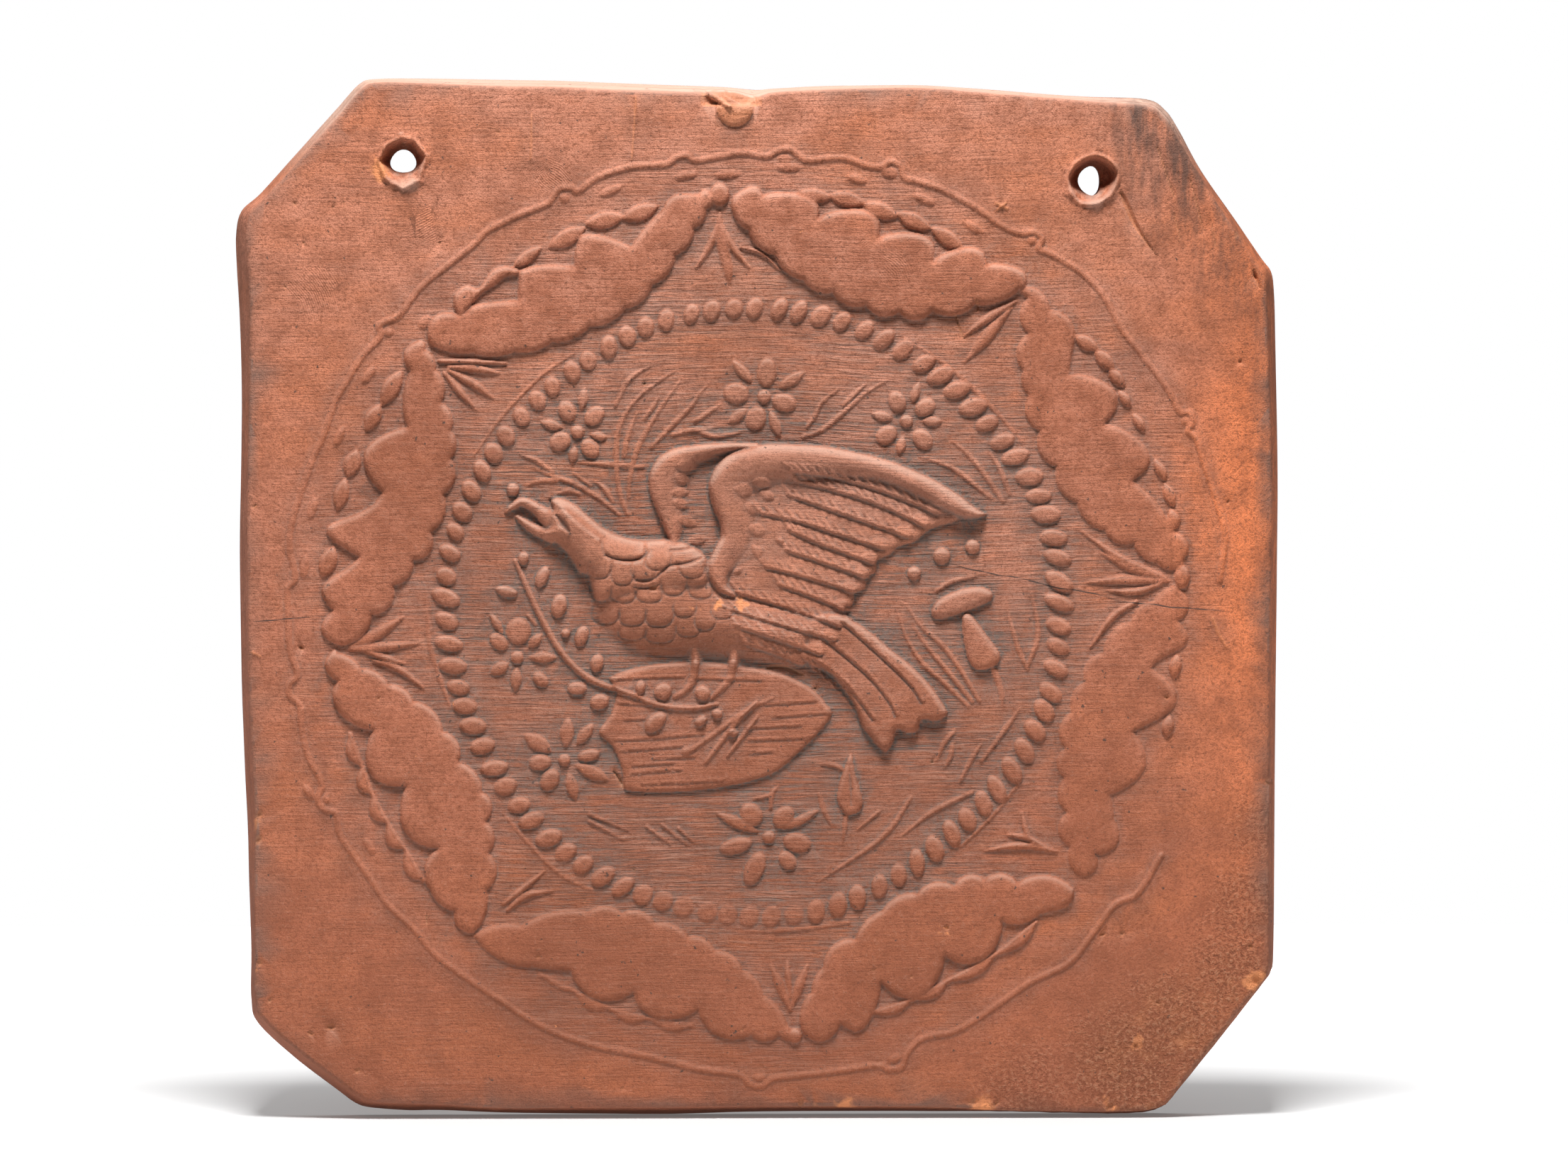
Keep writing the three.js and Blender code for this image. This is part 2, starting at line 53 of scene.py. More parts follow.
# Front edge, anticlockwise from the foot: x, z, then how far the back edge stands out in x and z.
EDGE = (
    (-92.5, -120.9, -0.5, -2.5), (-84, -121.3, 0, -2.8), (-76, -121.6, 0, -2.5), (-61, -122.5, 0, -2.2),
    (-42, -122.4, 0, -2.6), (-20, -122.4, 0, -2.7), (0, -122.2, 0, -2.4), (28, -122.2, 0, -2.3),
    (45, -122.5, 0, -2.1), (58.7, -123.2, 0, -1.4), (72, -123.5, 0, -1.4), (85, -123.6, 0.3, -1.6),
    (93, -123.3, 0.6, -1.6), (97.2, -122.2, 1, -1.2), (99.8, -120, 1, -0.9), (110, -106.8, 1.4, -1.2),
    (120.4, -93.6, 1.9, -0.5), (122.4, -90.3, 2.1, -0.4), (122.9, -86, 2.2, 0), (122.9, -61, 2.4, 0),
    (123, -30, 2.5, 0), (123.2, 0, 2.6, 0), (123.6, 25, 2.4, 0), (123.2, 42, 2.6, 0), (122.6, 60, 2.8, 0),
    (122.2, 72, 2.9, 0), (121.6, 77.5, 2.8, 0.3), (119.4, 80.6, 2.5, 0.8), (113.5, 89.6, 2.1, 1),
    (106, 101, 1.4, 1.4), (100.5, 110.4, 1.6, 1.6), (97.2, 115, 1.6, 1.9), (93.5, 117.5, 0.5, 2.1),
    (80, 118.8, 0, 1.4), (70, 119.7, 0, 1.1), (55, 120.8, 0, 1.2), (40, 122, 0, 0.9), (28, 121.9, 0, 1),
    (15, 121.5, 0, 1.2), (4, 120.8, 0, 1.3), (0, 119.6, 0, 2.2), (-6.5, 121, 0, 1.4), (-13, 120.7, 0, 2),
    (-30, 121.2, 0, 2.1), (-48, 122.2, 0, 1.8), (-61, 122.4, 0, 1.8), (-80, 123.1, 0, 1.4),
    (-90.5, 123.3, -0.3, 1.1), (-94.3, 121.9, -0.9, 1.4), (-99.2, 116.1, -1.4, 1.3),
    (-104.8, 109.9, -1.5, 1.2), (-110.8, 103.2, -1.5, 1.2), (-117.4, 95.9, -1.7, 1),
    (-121.2, 92, -2.5, 0.6), (-122.2, 87, -2.8, 0), (-121.7, 79, -3.1, 0), (-121.3, 68, -2.9, 0),
    (-121.4, 52, -2.3, 0), (-121.8, 35, -2, 0), (-122, 12, -2.2, 0), (-121.8, -8, -2.2, 0),
    (-121.6, -24, -2.1, 0), (-120.6, -43, -2.4, 0), (-120.1, -55, -2.3, 0), (-120.4, -68, -1.7, 0),
    (-120.4, -84, -1.2, 0), (-120, -97, -1.6, 0), (-118.4, -101.2, -1.5, -1.8), (-110, -108.8, -1.1, -2.5),
    (-100, -116.4, -0.9, -2.7), (-96, -119.4, -0.7, -2.8),
)


class Profile(Enum):
    """The cross-section of something raised or cut in the clay."""

    ROUND = "round"
    DOME = "dome"
    SOFT = "soft"
    FLAT = "flat"


def cross_section(profile: Profile, u: np.ndarray) -> np.ndarray:
    """The height across a form.

    Args:
        profile: the kind of section.
        u: distance from the middle, where 1 is the edge.

    Returns:
        Heights from 0 at the edge to 1 at the middle.
    """
    inside = np.clip(1 - u * u, 0, 1)
    if profile is Profile.ROUND:
        return np.sqrt(inside)
    if profile is Profile.DOME:
        return inside
    if profile is Profile.SOFT:
        return inside * inside
    return np.clip(1 - u**4, 0, 1) ** 0.6


def smooth(rows: Sequence[Row], per: int = 6, closed: bool = False) -> np.ndarray:
    """A rounded curve through given rows.

    Args:
        rows: x, z and any further values, which are carried along.
        per: points between two rows.
        closed: whether the curve runs back to its start.

    Returns:
        The rows of the curve.
    """
    p = np.asarray(rows, float)
    ends = (p[-1:], p[:2]) if closed else (2 * p[:1] - p[1:2], 2 * p[-1:] - p[-2:-1])
    q = np.vstack([ends[0], p, ends[1]])
    t = np.linspace(0, 1, per, endpoint=False)[:, None]
    runs = []
    for a, b, c, d in zip(q, q[1:], q[2:], q[3:]):
        runs.append(b + 0.5 * ((c - a) * t + (2 * a - 5 * b + 4 * c - d) * t**2 + (3 * b - a - 3 * c + d) * t**3))
    curve = np.vstack(runs)
    return curve if closed else np.vstack([curve, p[-1:]])


def lobed(rows: Sequence[Row], per: int = 9, lean: float = 1.0) -> np.ndarray:
    """An edge of round lobes between notches.

    Args:
        rows: x and z of each notch, how far the lobe that follows swells to the right of its way, and its lean.
        per: points on each lobe.
        lean: over 1, the fullest part of a lobe comes later. A row's own lean goes before it.

    Returns:
        The x and z of the edge.
    """
    t = np.linspace(0, 1, per, endpoint=False)[:, None]
    runs = []
    for (x, z, sag, *own), (x1, z1, *_) in zip(rows, rows[1:]):
        swell = np.sin(np.pi * t ** (own[0] if own else lean)) ** 0.75
        chord = np.array([x1 - x, z1 - z])
        out = np.array([chord[1], -chord[0]]) / np.hypot(*chord)
        runs.append(np.array([x, z]) + chord * t + out * sag * swell)
    return np.vstack([*runs, [rows[-1][:2]]])


@dataclass
class Relief:
    """The front of the tile as heights over a fine grid, worked as clay is."""

    step: float = 0.32
    reach: float = 126.0

    def __post_init__(self) -> None:
        """Lays out the grid with a flat face."""
        self.axis = np.arange(-self.reach, self.reach + self.step / 2, self.step)
        self.x, self.z = np.meshgrid(self.axis, self.axis)
        self.height = np.zeros_like(self.x)

    def window(self, points: np.ndarray, margin: float) -> tuple[slice, slice]:
        """The part of the grid that holds some points.

        Args:
            points: rows that start with x and z.
            margin: how much further the part reaches.

        Returns:
            The rows and the columns of that part.
        """
        low = (points[:, :2].min(0) - margin + self.reach) / self.step
        high = (points[:, :2].max(0) + margin + self.reach) / self.step
        x0, z0 = np.clip(np.floor(low).astype(int), 0, len(self.axis) - 2)
        x1, z1 = np.clip(np.ceil(high).astype(int) + 1, 2, len(self.axis))
        return slice(z0, z1), slice(x0, x1)

    def inside(self, outline: np.ndarray, part: tuple[slice, slice]) -> np.ndarray:
        """Which grid points of a part lie within a closed outline.

        Args:
            outline: x and z of its corners.
            part: the rows and columns to look at.

        Returns:
            True within the outline.
        """
        z = self.axis[part[0]]
        turns = np.zeros((len(z), part[1].stop - part[1].start + 1), int)
        for (x0, z0), (x1, z1) in zip(outline, np.roll(outline, -1, 0)):
            if z0 == z1:
                continue
            rows = np.nonzero((z >= min(z0, z1)) & (z < max(z0, z1)))[0]
            cut = x0 + (z[rows] - z0) * (x1 - x0) / (z1 - z0)
            columns = np.ceil((cut + self.reach) / self.step).astype(int) - part[1].start
            np.add.at(turns, (rows, np.clip(columns, 0, turns.shape[1] - 1)), 1)
        return np.cumsum(turns, 1)[:, :-1] % 2 == 1

    def depth_in(self, outline: np.ndarray, most: float) -> tuple[tuple[slice, slice], np.ndarray]:
        """How far within a closed outline each grid point lies.

        Args:
            outline: x and z of its corners.
            most: the distance at which counting stops.

        Returns:
            The part of the grid, and its distances, negative outside.
        """
        part = self.window(outline, most + self.step)
        away = np.full(self.x[part].shape, most)
        for a, b in zip(outline, np.roll(outline, -1, 0)):
            near = self.window(np.stack([a, b]), most)
            local = tuple(slice(n.start - p.start, n.stop - p.start) for n, p in zip(near, part))
            reach = self.to_line(a, b, near)[0]
            away[local] = np.minimum(away[local], reach)
        return part, np.where(self.inside(outline, part), away, -away)

    def to_line(self, a: np.ndarray, b: np.ndarray, part: tuple[slice, slice]) -> tuple[np.ndarray, ...]:
        """Distances to a straight line.

        Args:
            a: its start, x and z.
            b: its end.
            part: the rows and columns to look at.

        Returns:
            The distance, the share of the way along, and 1 on the left of it or -1 on the right.
        """
        d = b[:2] - a[:2]
        x = self.x[part] - a[0]
        z = self.z[part] - a[1]
        t = np.clip((x * d[0] + z * d[1]) / max(d @ d, 1e-9), 0, 1)
        side = np.where(d[0] * z - d[1] * x >= 0, 1, -1)
        return np.hypot(x - t * d[0], z - t * d[1]), t, side

    def put(self, part: tuple[slice, slice], layer: np.ndarray, add: bool) -> None:
        """Works a layer into the clay: added on top, or only where it stands higher."""
        old = self.height[part]
        self.height[part] = old + layer if add else np.maximum(old, layer)

    def stroke(
        self, rows: Sequence[Row], height: float, profile: Profile = Profile.ROUND,
        add: bool = False, per: int = 5, taper: float = 0.5,
    ) -> None:
        """Raises a ridge along a curve, or cuts a groove where the height is negative.

        Args:
            rows: x, z and half width along the curve. A fourth value is how far a soft slope reaches on its right.
            height: height at its widest.
            profile: its cross-section.
            add: whether it lies on top of what is there.
            per: points between two rows, or 1 for straight lines.
            taper: how much lower it is where it is narrower.
        """
        line = smooth(rows, per) if per > 1 and len(rows) > 2 else np.asarray(rows, float)
        widest = line[:, 2].max()
        part = self.window(line, line[:, 2:].max())
        layer = np.zeros(self.x[part].shape)
        nearest = np.full(layer.shape, np.inf)
        for a, b in zip(line, line[1:]):
            near = self.window(np.stack([a, b]), line[:, 2:].max())
            local = tuple(slice(n.start - p.start, n.stop - p.start) for n, p in zip(near, part))
            away, t, side = self.to_line(a, b, near)
            half = np.maximum(a[2] + (b[2] - a[2]) * t, 0.05)
            rise = cross_section(profile, away / half) * (half / widest) ** taper
            if line.shape[1] > 3:
                reach = np.maximum(a[3] + (b[3] - a[3]) * t, half)
                slope = cross_section(Profile.SOFT, away / reach) * (half / widest) ** taper
                rise = np.where(side < 0, slope, rise)
                rise = np.where(away < nearest[local], rise, layer[local])
                nearest[local] = np.minimum(nearest[local], away)
            else:
                rise = np.maximum(layer[local], rise)
            layer[local] = rise
        self.put(part, layer * height, add or height < 0)

    def plate(
        self, outline: np.ndarray, height: float, edge: float,
        add: bool = False, profile: Profile = Profile.ROUND,
    ) -> None:
        """Raises a form with a flat top and a rounded edge.

        Args:
            outline: x and z of its corners.
            height: height of its top.
            edge: width of the rounded edge.
            add: whether it lies on top of what is there.
            profile: how the edge rises.
        """
        part, depth = self.depth_in(outline, edge)
        rise = cross_section(profile, 1 - np.clip(depth / edge, 0, 1))
        self.put(part, height * np.where(depth > 0, rise, 0), add)

    def boss(self, row: Row, height: float, profile: Profile = Profile.ROUND, add: bool = False) -> None:
        """Raises one rounded boss.

        Args:
            row: x, z, half length, half width, turn in degrees, and 1 where its ends are pointed.
            height: its height.
            profile: its cross-section.
            add: whether it lies on top of what is there.
        """
        x, z, length, width, turn, pointed = row
        part = self.window(np.array([[x, z]]), max(length, width))
        c, s = math.cos(math.radians(turn)), math.sin(math.radians(turn))
        a = ((self.x[part] - x) * c + (self.z[part] - z) * s) / length
        b = ((self.z[part] - z) * c - (self.x[part] - x) * s) / width
        if pointed:
            slim = np.clip(1 - a * a, 1e-3, 1)
            u = np.where(abs(a) < 1, abs(b) / slim, 1)
            layer = cross_section(profile, u) * slim**0.4
        else:
            layer = cross_section(profile, np.hypot(a, b))
        self.put(part, layer * height, add or height < 0)

    def soften(self, field_: np.ndarray, radius: float) -> np.ndarray:
        """A field blurred over a radius in millimetres."""
        n = field_.shape
        fz = np.fft.fftfreq(n[0], self.step)[:, None]
        fx = np.fft.rfftfreq(n[1], self.step)[None, :]
        keep = np.exp(-2 * (np.pi * radius) ** 2 * (fx * fx + fz * fz))
        return np.fft.irfft2(np.fft.rfft2(field_) * keep, s=n)

    def unevenness(self, size: float, seed: int) -> np.ndarray:
        """Smooth random waves from -1 to 1, of a size in millimetres."""
        noise = self.soften(np.random.default_rng(seed).standard_normal(self.x.shape), size)
        return np.clip(noise / (3 * noise.std()), -1, 1)

    def sample(self, field_: np.ndarray, x: np.ndarray, z: np.ndarray) -> np.ndarray:
        """The values of a field at places between its grid points."""
        u = np.clip((x + self.reach) / self.step, 0, len(self.axis) - 1.001)
        v = np.clip((z + self.reach) / self.step, 0, len(self.axis) - 1.001)
        i, j = u.astype(int), v.astype(int)
        fu, fv = u - i, v - j
        low = field_[j, i] * (1 - fu) + field_[j, i + 1] * fu
        high = field_[j + 1, i] * (1 - fu) + field_[j + 1, i + 1] * fu
        return low * (1 - fv) + high * fv


@dataclass
class Festoon:
    """One scalloped swag of cloth: its outer lobes and its inner scallops."""

    outer: tuple[Row, ...]
    inner: tuple[Row, ...]
    height: float = 1.3
    edge: float = 1.8
    worn: float = 1.0
    lean: float = 1.0

    def carve(self, relief: Relief) -> None:
        """Raises the festoon, fullest along its middle."""
        outline = np.vstack([lobed(self.outer, 12, self.lean)[:-1], lobed(self.inner)[:-1]])
        relief.plate(outline, self.height * self.worn, self.edge)
        relief.plate(outline, 0.35 * self.worn, 8.0, add=True)


@dataclass
class Border:
    """The ring line, the festoons with their leaves, and the knots and sprigs between them."""

    leaf_height: float = 1.05
    knot_height: float = 1.5
    sprig_height: float = 0.9
    line_height: float = 0.5
    line_width: float = 0.8
    festoons: tuple[Festoon, ...] = (
        Festoon(
            ((-10, 96.5, 1.2), (-14, 96.8, 1.9), (-22.4, 93.4, 0.3), (-30.2, 84.4, 0.9), (-42.6, 87, 0.4),
             (-43.8, 79.6, 1), (-57.2, 78.2, 0), (-57.4, 71.4, 0.3), (-68.4, 70, -0.4), (-71.5, 68, 3.8, 1),
             (-78.6, 61)),
            ((-78.6, 61, 1), (-68, 58.6, 1), (-58, 58.9, 1), (-49, 61.2, 1.2), (-40, 65, 1.3),
             (-31.5, 69.2, 1.4), (-25, 75, 1.4), (-19.5, 82, 1.3), (-15, 88.5, 0.9), (-12, 93, 0.6), (-10, 96.5)),
            lean=1.4,
        ),
        Festoon(
            ((64.5, 75.5, 2.3), (55.3, 80, 3.8), (42.5, 81, 4.4), (29.5, 86.5, 5), (15, 91.3, 3.6),
             (1.5, 96.6, 2.4), (-6.3, 95.5)),
            ((-6.3, 95, 1.3), (-2.2, 88, 1.3), (4, 82, 1.2), (11, 76, 1.2), (18, 73, 1.6), (26, 70, 1.8),
             (34, 68.2, 2), (42, 68.5, 1.9), (52.3, 70.2, 1.4), (63, 73.8, 0.6), (64.5, 75.5)),
            height=1.65, lean=0.62,
        ),
        Festoon(
            ((100.3, 6.4, 0.8), (102.6, 9.1, 2.2, 0.9), (100.2, 15.9, 1.9), (99.4, 21.3, 0.3), (98.3, 19.2, 0.7),
             (90.4, 27.8, 6.3, 0.64), (83.7, 41.7, 6.4, 0.66), (75, 53.6, 4.3, 1.6), (70.3, 69.2, 2.6), (62, 74.2)),
            ((62, 74.2, 0.1), (64.6, 71.6, 1.9), (64.9, 63.3, 2.2), (63.6, 54.2, 0.9), (65, 48.4, 2),
             (67.6, 39.8, 2.2), (71.6, 31.3, 2), (76.6, 22.6, 1.5), (83.3, 16, 1.5), (90.3, 12.8, 1.2),
             (95.8, 8.3, 0.6), (100.3, 6.4)),
            worn=0.75,
        ),
        Festoon(
            ((77.5, -67, 2.1), (81.6, -62, 3.3), (85.8, -53.4, 0.2), (84.9, -47.6, 5.6, 1.2),
             (90.3, -32.4, 8, 1.4), (94.8, -17, 4.4, 2.2), (101.2, -5.7, 2.4), (101.6, 2, 0.3), (100.3, 3.1)),
            ((100.3, 3.1, 0.5), (94.9, -0.9, 1.3), (89.8, -5.6, 1.7), (82.9, -13.2, 2), (78.4, -20.4, 1.5),
             (75.2, -27.6, 2.2), (73.8, -36.3, 1.9), (73.5, -43.5, 1.8), (74.2, -51.7, 2.4), (74.9, -60, 1.4),
             (77.5, -67)),
            worn=0.6,
        ),
        Festoon(
            ((10.8, -104.6, 3), (20, -102.7, 4.6, 0.55), (29.8, -92.8, 6.6, 0.85), (45.2, -86.4, 5.4, 0.9),
             (59, -78, 1.4), (68, -76.1, 2.4, 1.5), (76.2, -70)),
            ((76.2, -70, 2.6), (62.6, -68.3, 1.8), (54.6, -67.5, 1.9), (47.3, -69.1, 1.8), (38.4, -70.9, 1.4),
             (30, -75, 1.1), (23.5, -81.8, 2.3), (15.8, -88.6, 0.8), (13, -94.6, 0.8), (10.2, -101, 0.2),
             (10.8, -104.6)),
        ),
        Festoon(
            ((-68, -81, 2.2), (-54, -88.6, 0.3), (-44.9, -89.6, 4.5), (-29.8, -95, 4.5, 0.85), (-14.3, -99.2, 3.5),
             (-1.5, -105.3, 1.5), (5.2, -105.3, 1.8), (10.6, -104.4)),
            ((7.4, -102.6, 0.9), (1.6, -95.3, 1), (-3.4, -89.3, 1.4), (-10.2, -84.5, 1.4), (-16.5, -81.3, 1.2),
             (-24.5, -77.8, 1.7), (-32.4, -75.5, 1.5), (-40.5, -75.2, 1.6), (-56.5, -78.5, 1.5), (-68, -81)),
            worn=0.75,
        ),
        Festoon(
            ((-101.3, -12.3, 2.6), (-100.8, -19.9, 4, 0.8), (-92.3, -31.8, 5.6, 1.1), (-84.5, -45.4, 5, 1.1),
             (-76.8, -60.2, 2.2), (-78.6, -70, 1), (-72.8, -75.2, 1.9), (-67.9, -80.4)),
            ((-67.9, -80.4, 1.4), (-64.7, -70.2, 2.1), (-64.2, -61.2, 1.7), (-64.9, -53.6, 1.9),
             (-65.8, -46.4, 1.5), (-71.4, -39.2, 1.9), (-75.2, -31.8, 1.7), (-82.2, -24.6, 1.1),
             (-88.3, -20.4, 1), (-94.8, -16.7, 0.7), (-100.5, -13, 0.1), (-101.3, -12.3)),
            height=1.4,
        ),
        Festoon(
            ((-80.2, 61.8, 2.9), (-83.3, 54.2, 1.3), (-84, 41, 7.3, 1.15), (-90, 25.2, 9.6, 2.6),
             (-95.6, 9.8, 4.6, 2), (-101.8, -3, 3.8), (-99.6, -11.4)),
            ((-99.6, -11.4, 2), (-92.2, -4.2, 2.2), (-87, 2.9, 1.6), (-82.3, 8.9, 2.4), (-78, 15.7, 1.8),
             (-75, 24.7, 1.9), (-73.2, 33.4, 1.3), (-73.2, 40, 1.3), (-75.4, 46.9, 1.3), (-76.8, 54.8, 0.8),
             (-79.4, 59.6, 0.3), (-80.2, 61.8)),
        ),
    )
    # Strings of half leaves outside the festoons: the points of each stem with the swell of its leaves.
    leaf_strings: tuple[tuple[Row, ...], ...] = (
        ((27, -99.9, 2.2), (37, -96.7, 2.2), (45.7, -92.2, 2.4), (57, -86, 2.4), (67, -78)),
        ((-52, -90.5, 1.2), (-44, -94.5, 2.6), (-35.5, -98.6, 2.4), (-26.3, -101.1, 2.2), (-16, -102.8)),
        ((-97.6, -32.5, 2.6), (-94.8, -40.2, 2.8), (-92.3, -47, 2.8), (-88.7, -53.8, 2.9), (-84.5, -60.2, 2.8),
         (-80, -67.8)),
    )
    # Pointed leaves outside the upper festoons: x, z, half length, half width, turn.
    leaves: tuple[Row, ...] = (
        (-28, 92.3, 4.8, 2, 20), (-36.5, 90.5, 5, 2.1, 12), (-45.5, 86.3, 5.2, 2.1, 28), (-55, 81.7, 4.4, 1.5, 35),
        (13.5, 96.3, 4.8, 1.9, -5), (21.5, 95.5, 4.8, 2, -12), (29.5, 92.8, 4.8, 2.1, -20),
        (37.5, 90.3, 4.8, 2, -24), (45.5, 86.2, 4.8, 2, -33), (79, 61, 3.4, 1.8, -30), (83.3, 57, 3.4, 1.8, -46),
        (86.2, 52.8, 3, 1.5, -50), (88.2, 47.6, 2.6, 1.2, -56), (91.6, 42, 2.8, 1.2, -56), (96.8, 30.6, 3, 1.3, -62),
        (98.9, 24.6, 3.2, 1.5, -68), (100.4, -16.6, 3, 1.5, 80), (98.6, -31, 2.8, 1.5, 80),
        (-87.6, 50.3, 5, 2.2, 60), (-92, 43.2, 3.8, 1.9, 60), (-97, 32.2, 3.6, 2.2, 70), (-99.6, 24.8, 4.2, 1.9, 75),
        (-102.8, 8.7, 4, 2.2, 68),
    )
    # The leaf that closes a gap in the first festoon.
    lone_leaf: tuple[Row, ...] = (
        (-57.2, 78.8), (-60.4, 79.5), (-63.6, 78.3), (-65.7, 75.3), (-67, 74.2), (-69.8, 74.9), (-72.3, 72.8),
        (-72.6, 69.6), (-71, 67.2), (-69, 69.4), (-66, 72.8), (-62.8, 74.8), (-60, 76.9), (-57.4, 77.2),
    )
    # Low ovals between the ring and the festoons: x, z, half length, half width, turn.
    low_ovals: tuple[Row, ...] = (
        (-17, 101.2, 3, 1.1, 12), (-7, 101.5, 3.4, 1.2, 6), (-35, 97.5, 3, 1.1, 22), (7.5, 103.2, 3, 1.2, -4),
        (24, 100.3, 2.6, 1.1, -14), (31.5, 101.7, 1.8, 1.2, -20), (40, 95.5, 3, 1.1, -24),
        (52, 88.7, 2.8, 1.1, -30), (-93, 53.5, 2.6, 1.1, 55), (-100, 38.8, 2.8, 1.1, 66),
        (-106.5, 21.5, 2.8, 1.2, 76), (-108.5, 7.5, 3, 1.2, 84), (-107.5, -46.5, 2.4, 1.1, -60),
        (-93, -59.5, 2.4, 1.1, -58), (-79.5, 66, 2, 1.4, 40),
    )
    # Ring line, anticlockwise from the right. It arches over small buds here and there.
    ring_line: tuple[Row, ...] = (
        (111, 4), (112.3, 14), (111.2, 20), (109.6, 25), (107, 33), (105.4, 38), (103.4, 39.8),
        (104.6, 42.2), (103.8, 44.4), (101.4, 44.6), (98.5, 50), (92.8, 57.6), (87, 65), (83, 72.5),
        (77.5, 78.2), (70, 82.7), (67.4, 83.6), (68.4, 86), (66.4, 87.6), (63, 87.4), (58, 89.6),
        (52, 93.8), (44, 98), (38.4, 99.8), (35.3, 100.6), (34.4, 103.4), (32, 104.6), (29.9, 103.2),
        (26.5, 103.6), (20, 105.5), (12.5, 104.8), (10.2, 105.8), (7.4, 107.6), (4.4, 106.8), (2.2, 105.8),
        (-3, 106.6), (-8, 106), (-12, 105.2), (-15, 104.8), (-17, 106), (-19.6, 105.4), (-22, 103.8),
        (-30, 103.3), (-38, 100.8), (-42.8, 97.4), (-44.4, 98.3), (-47.3, 98), (-48.9, 95.8), (-50.4, 94.3),
        (-57, 91.8), (-64.5, 88), (-66, 86.6), (-68, 84.5), (-75, 79), (-80.5, 74.5), (-85.5, 67.8),
        (-88.2, 66.6), (-90.6, 65.2), (-90.2, 62.6), (-94.3, 58.2), (-98.8, 51), (-101.2, 46.6),
        (-103.6, 39.5), (-106.3, 33.5), (-109, 26), (-111.2, 19), (-112, 12), (-110.6, 5), (-112.6, 2.4),
        (-112.4, -1.5), (-112, -12), (-110.2, -18.4), (-112.2, -20.6), (-112, -23.4), (-109.6, -25.6),
        (-109.2, -31), (-107.6, -38), (-104.4, -44.4), (-105.4, -48.2), (-103.6, -50.8), (-101, -51.6),
        (-100.2, -56.4), (-97, -61.4), (-92.3, -68), (-88.5, -73.6), (-82.5, -79.3), (-77, -85.8),
        (-70, -91), (-61, -97), (-52, -102.7), (-41, -107), (-27, -110), (-14, -113.2), (-4.4, -114.6),
        (-2, -116.8), (1.2, -117.4), (3.6, -115.6), (9, -114.9), (20, -113.6), (29, -112.4), (31.6, -113.4),
        (34.8, -112.8), (36, -109.6), (39.5, -106), (48, -104), (57, -98.4), (66, -92.2), (75, -87.8),
        (80.6, -80.8), (86, -73.7), (91.5, -71), (97, -62),
    )
    # Buds under its arches: x, z, half length, half width, turn.
    ring_buds: tuple[Row, ...] = (
        (-46.2, 95.6, 1.3, 1.2, 0), (6.6, 105.2, 1.8, 1.1, -8), (32.2, 101.8, 1.7, 1.3, -20),
        (66, 85.6, 1.3, 1.1, 0), (102.7, 42.2, 1.3, 1.1, 60), (-103.2, -48.2, 1.3, 1.1, 70),
        (0.4, -115.4, 1.8, 1, 0), (33, -110.8, 1.9, 1.1, 20), (-88.2, 63.6, 1.3, 1.1, 0),
    )
    # Knots between festoons: x, z, half length, half width, turn.
    knots: tuple[Row, ...] = (
        (-9, 96.6, 2.9, 2.4, 90), (9, -105.2, 1.8, 1.9, 0), (102, 5, 1.9, 3, 0),
    )
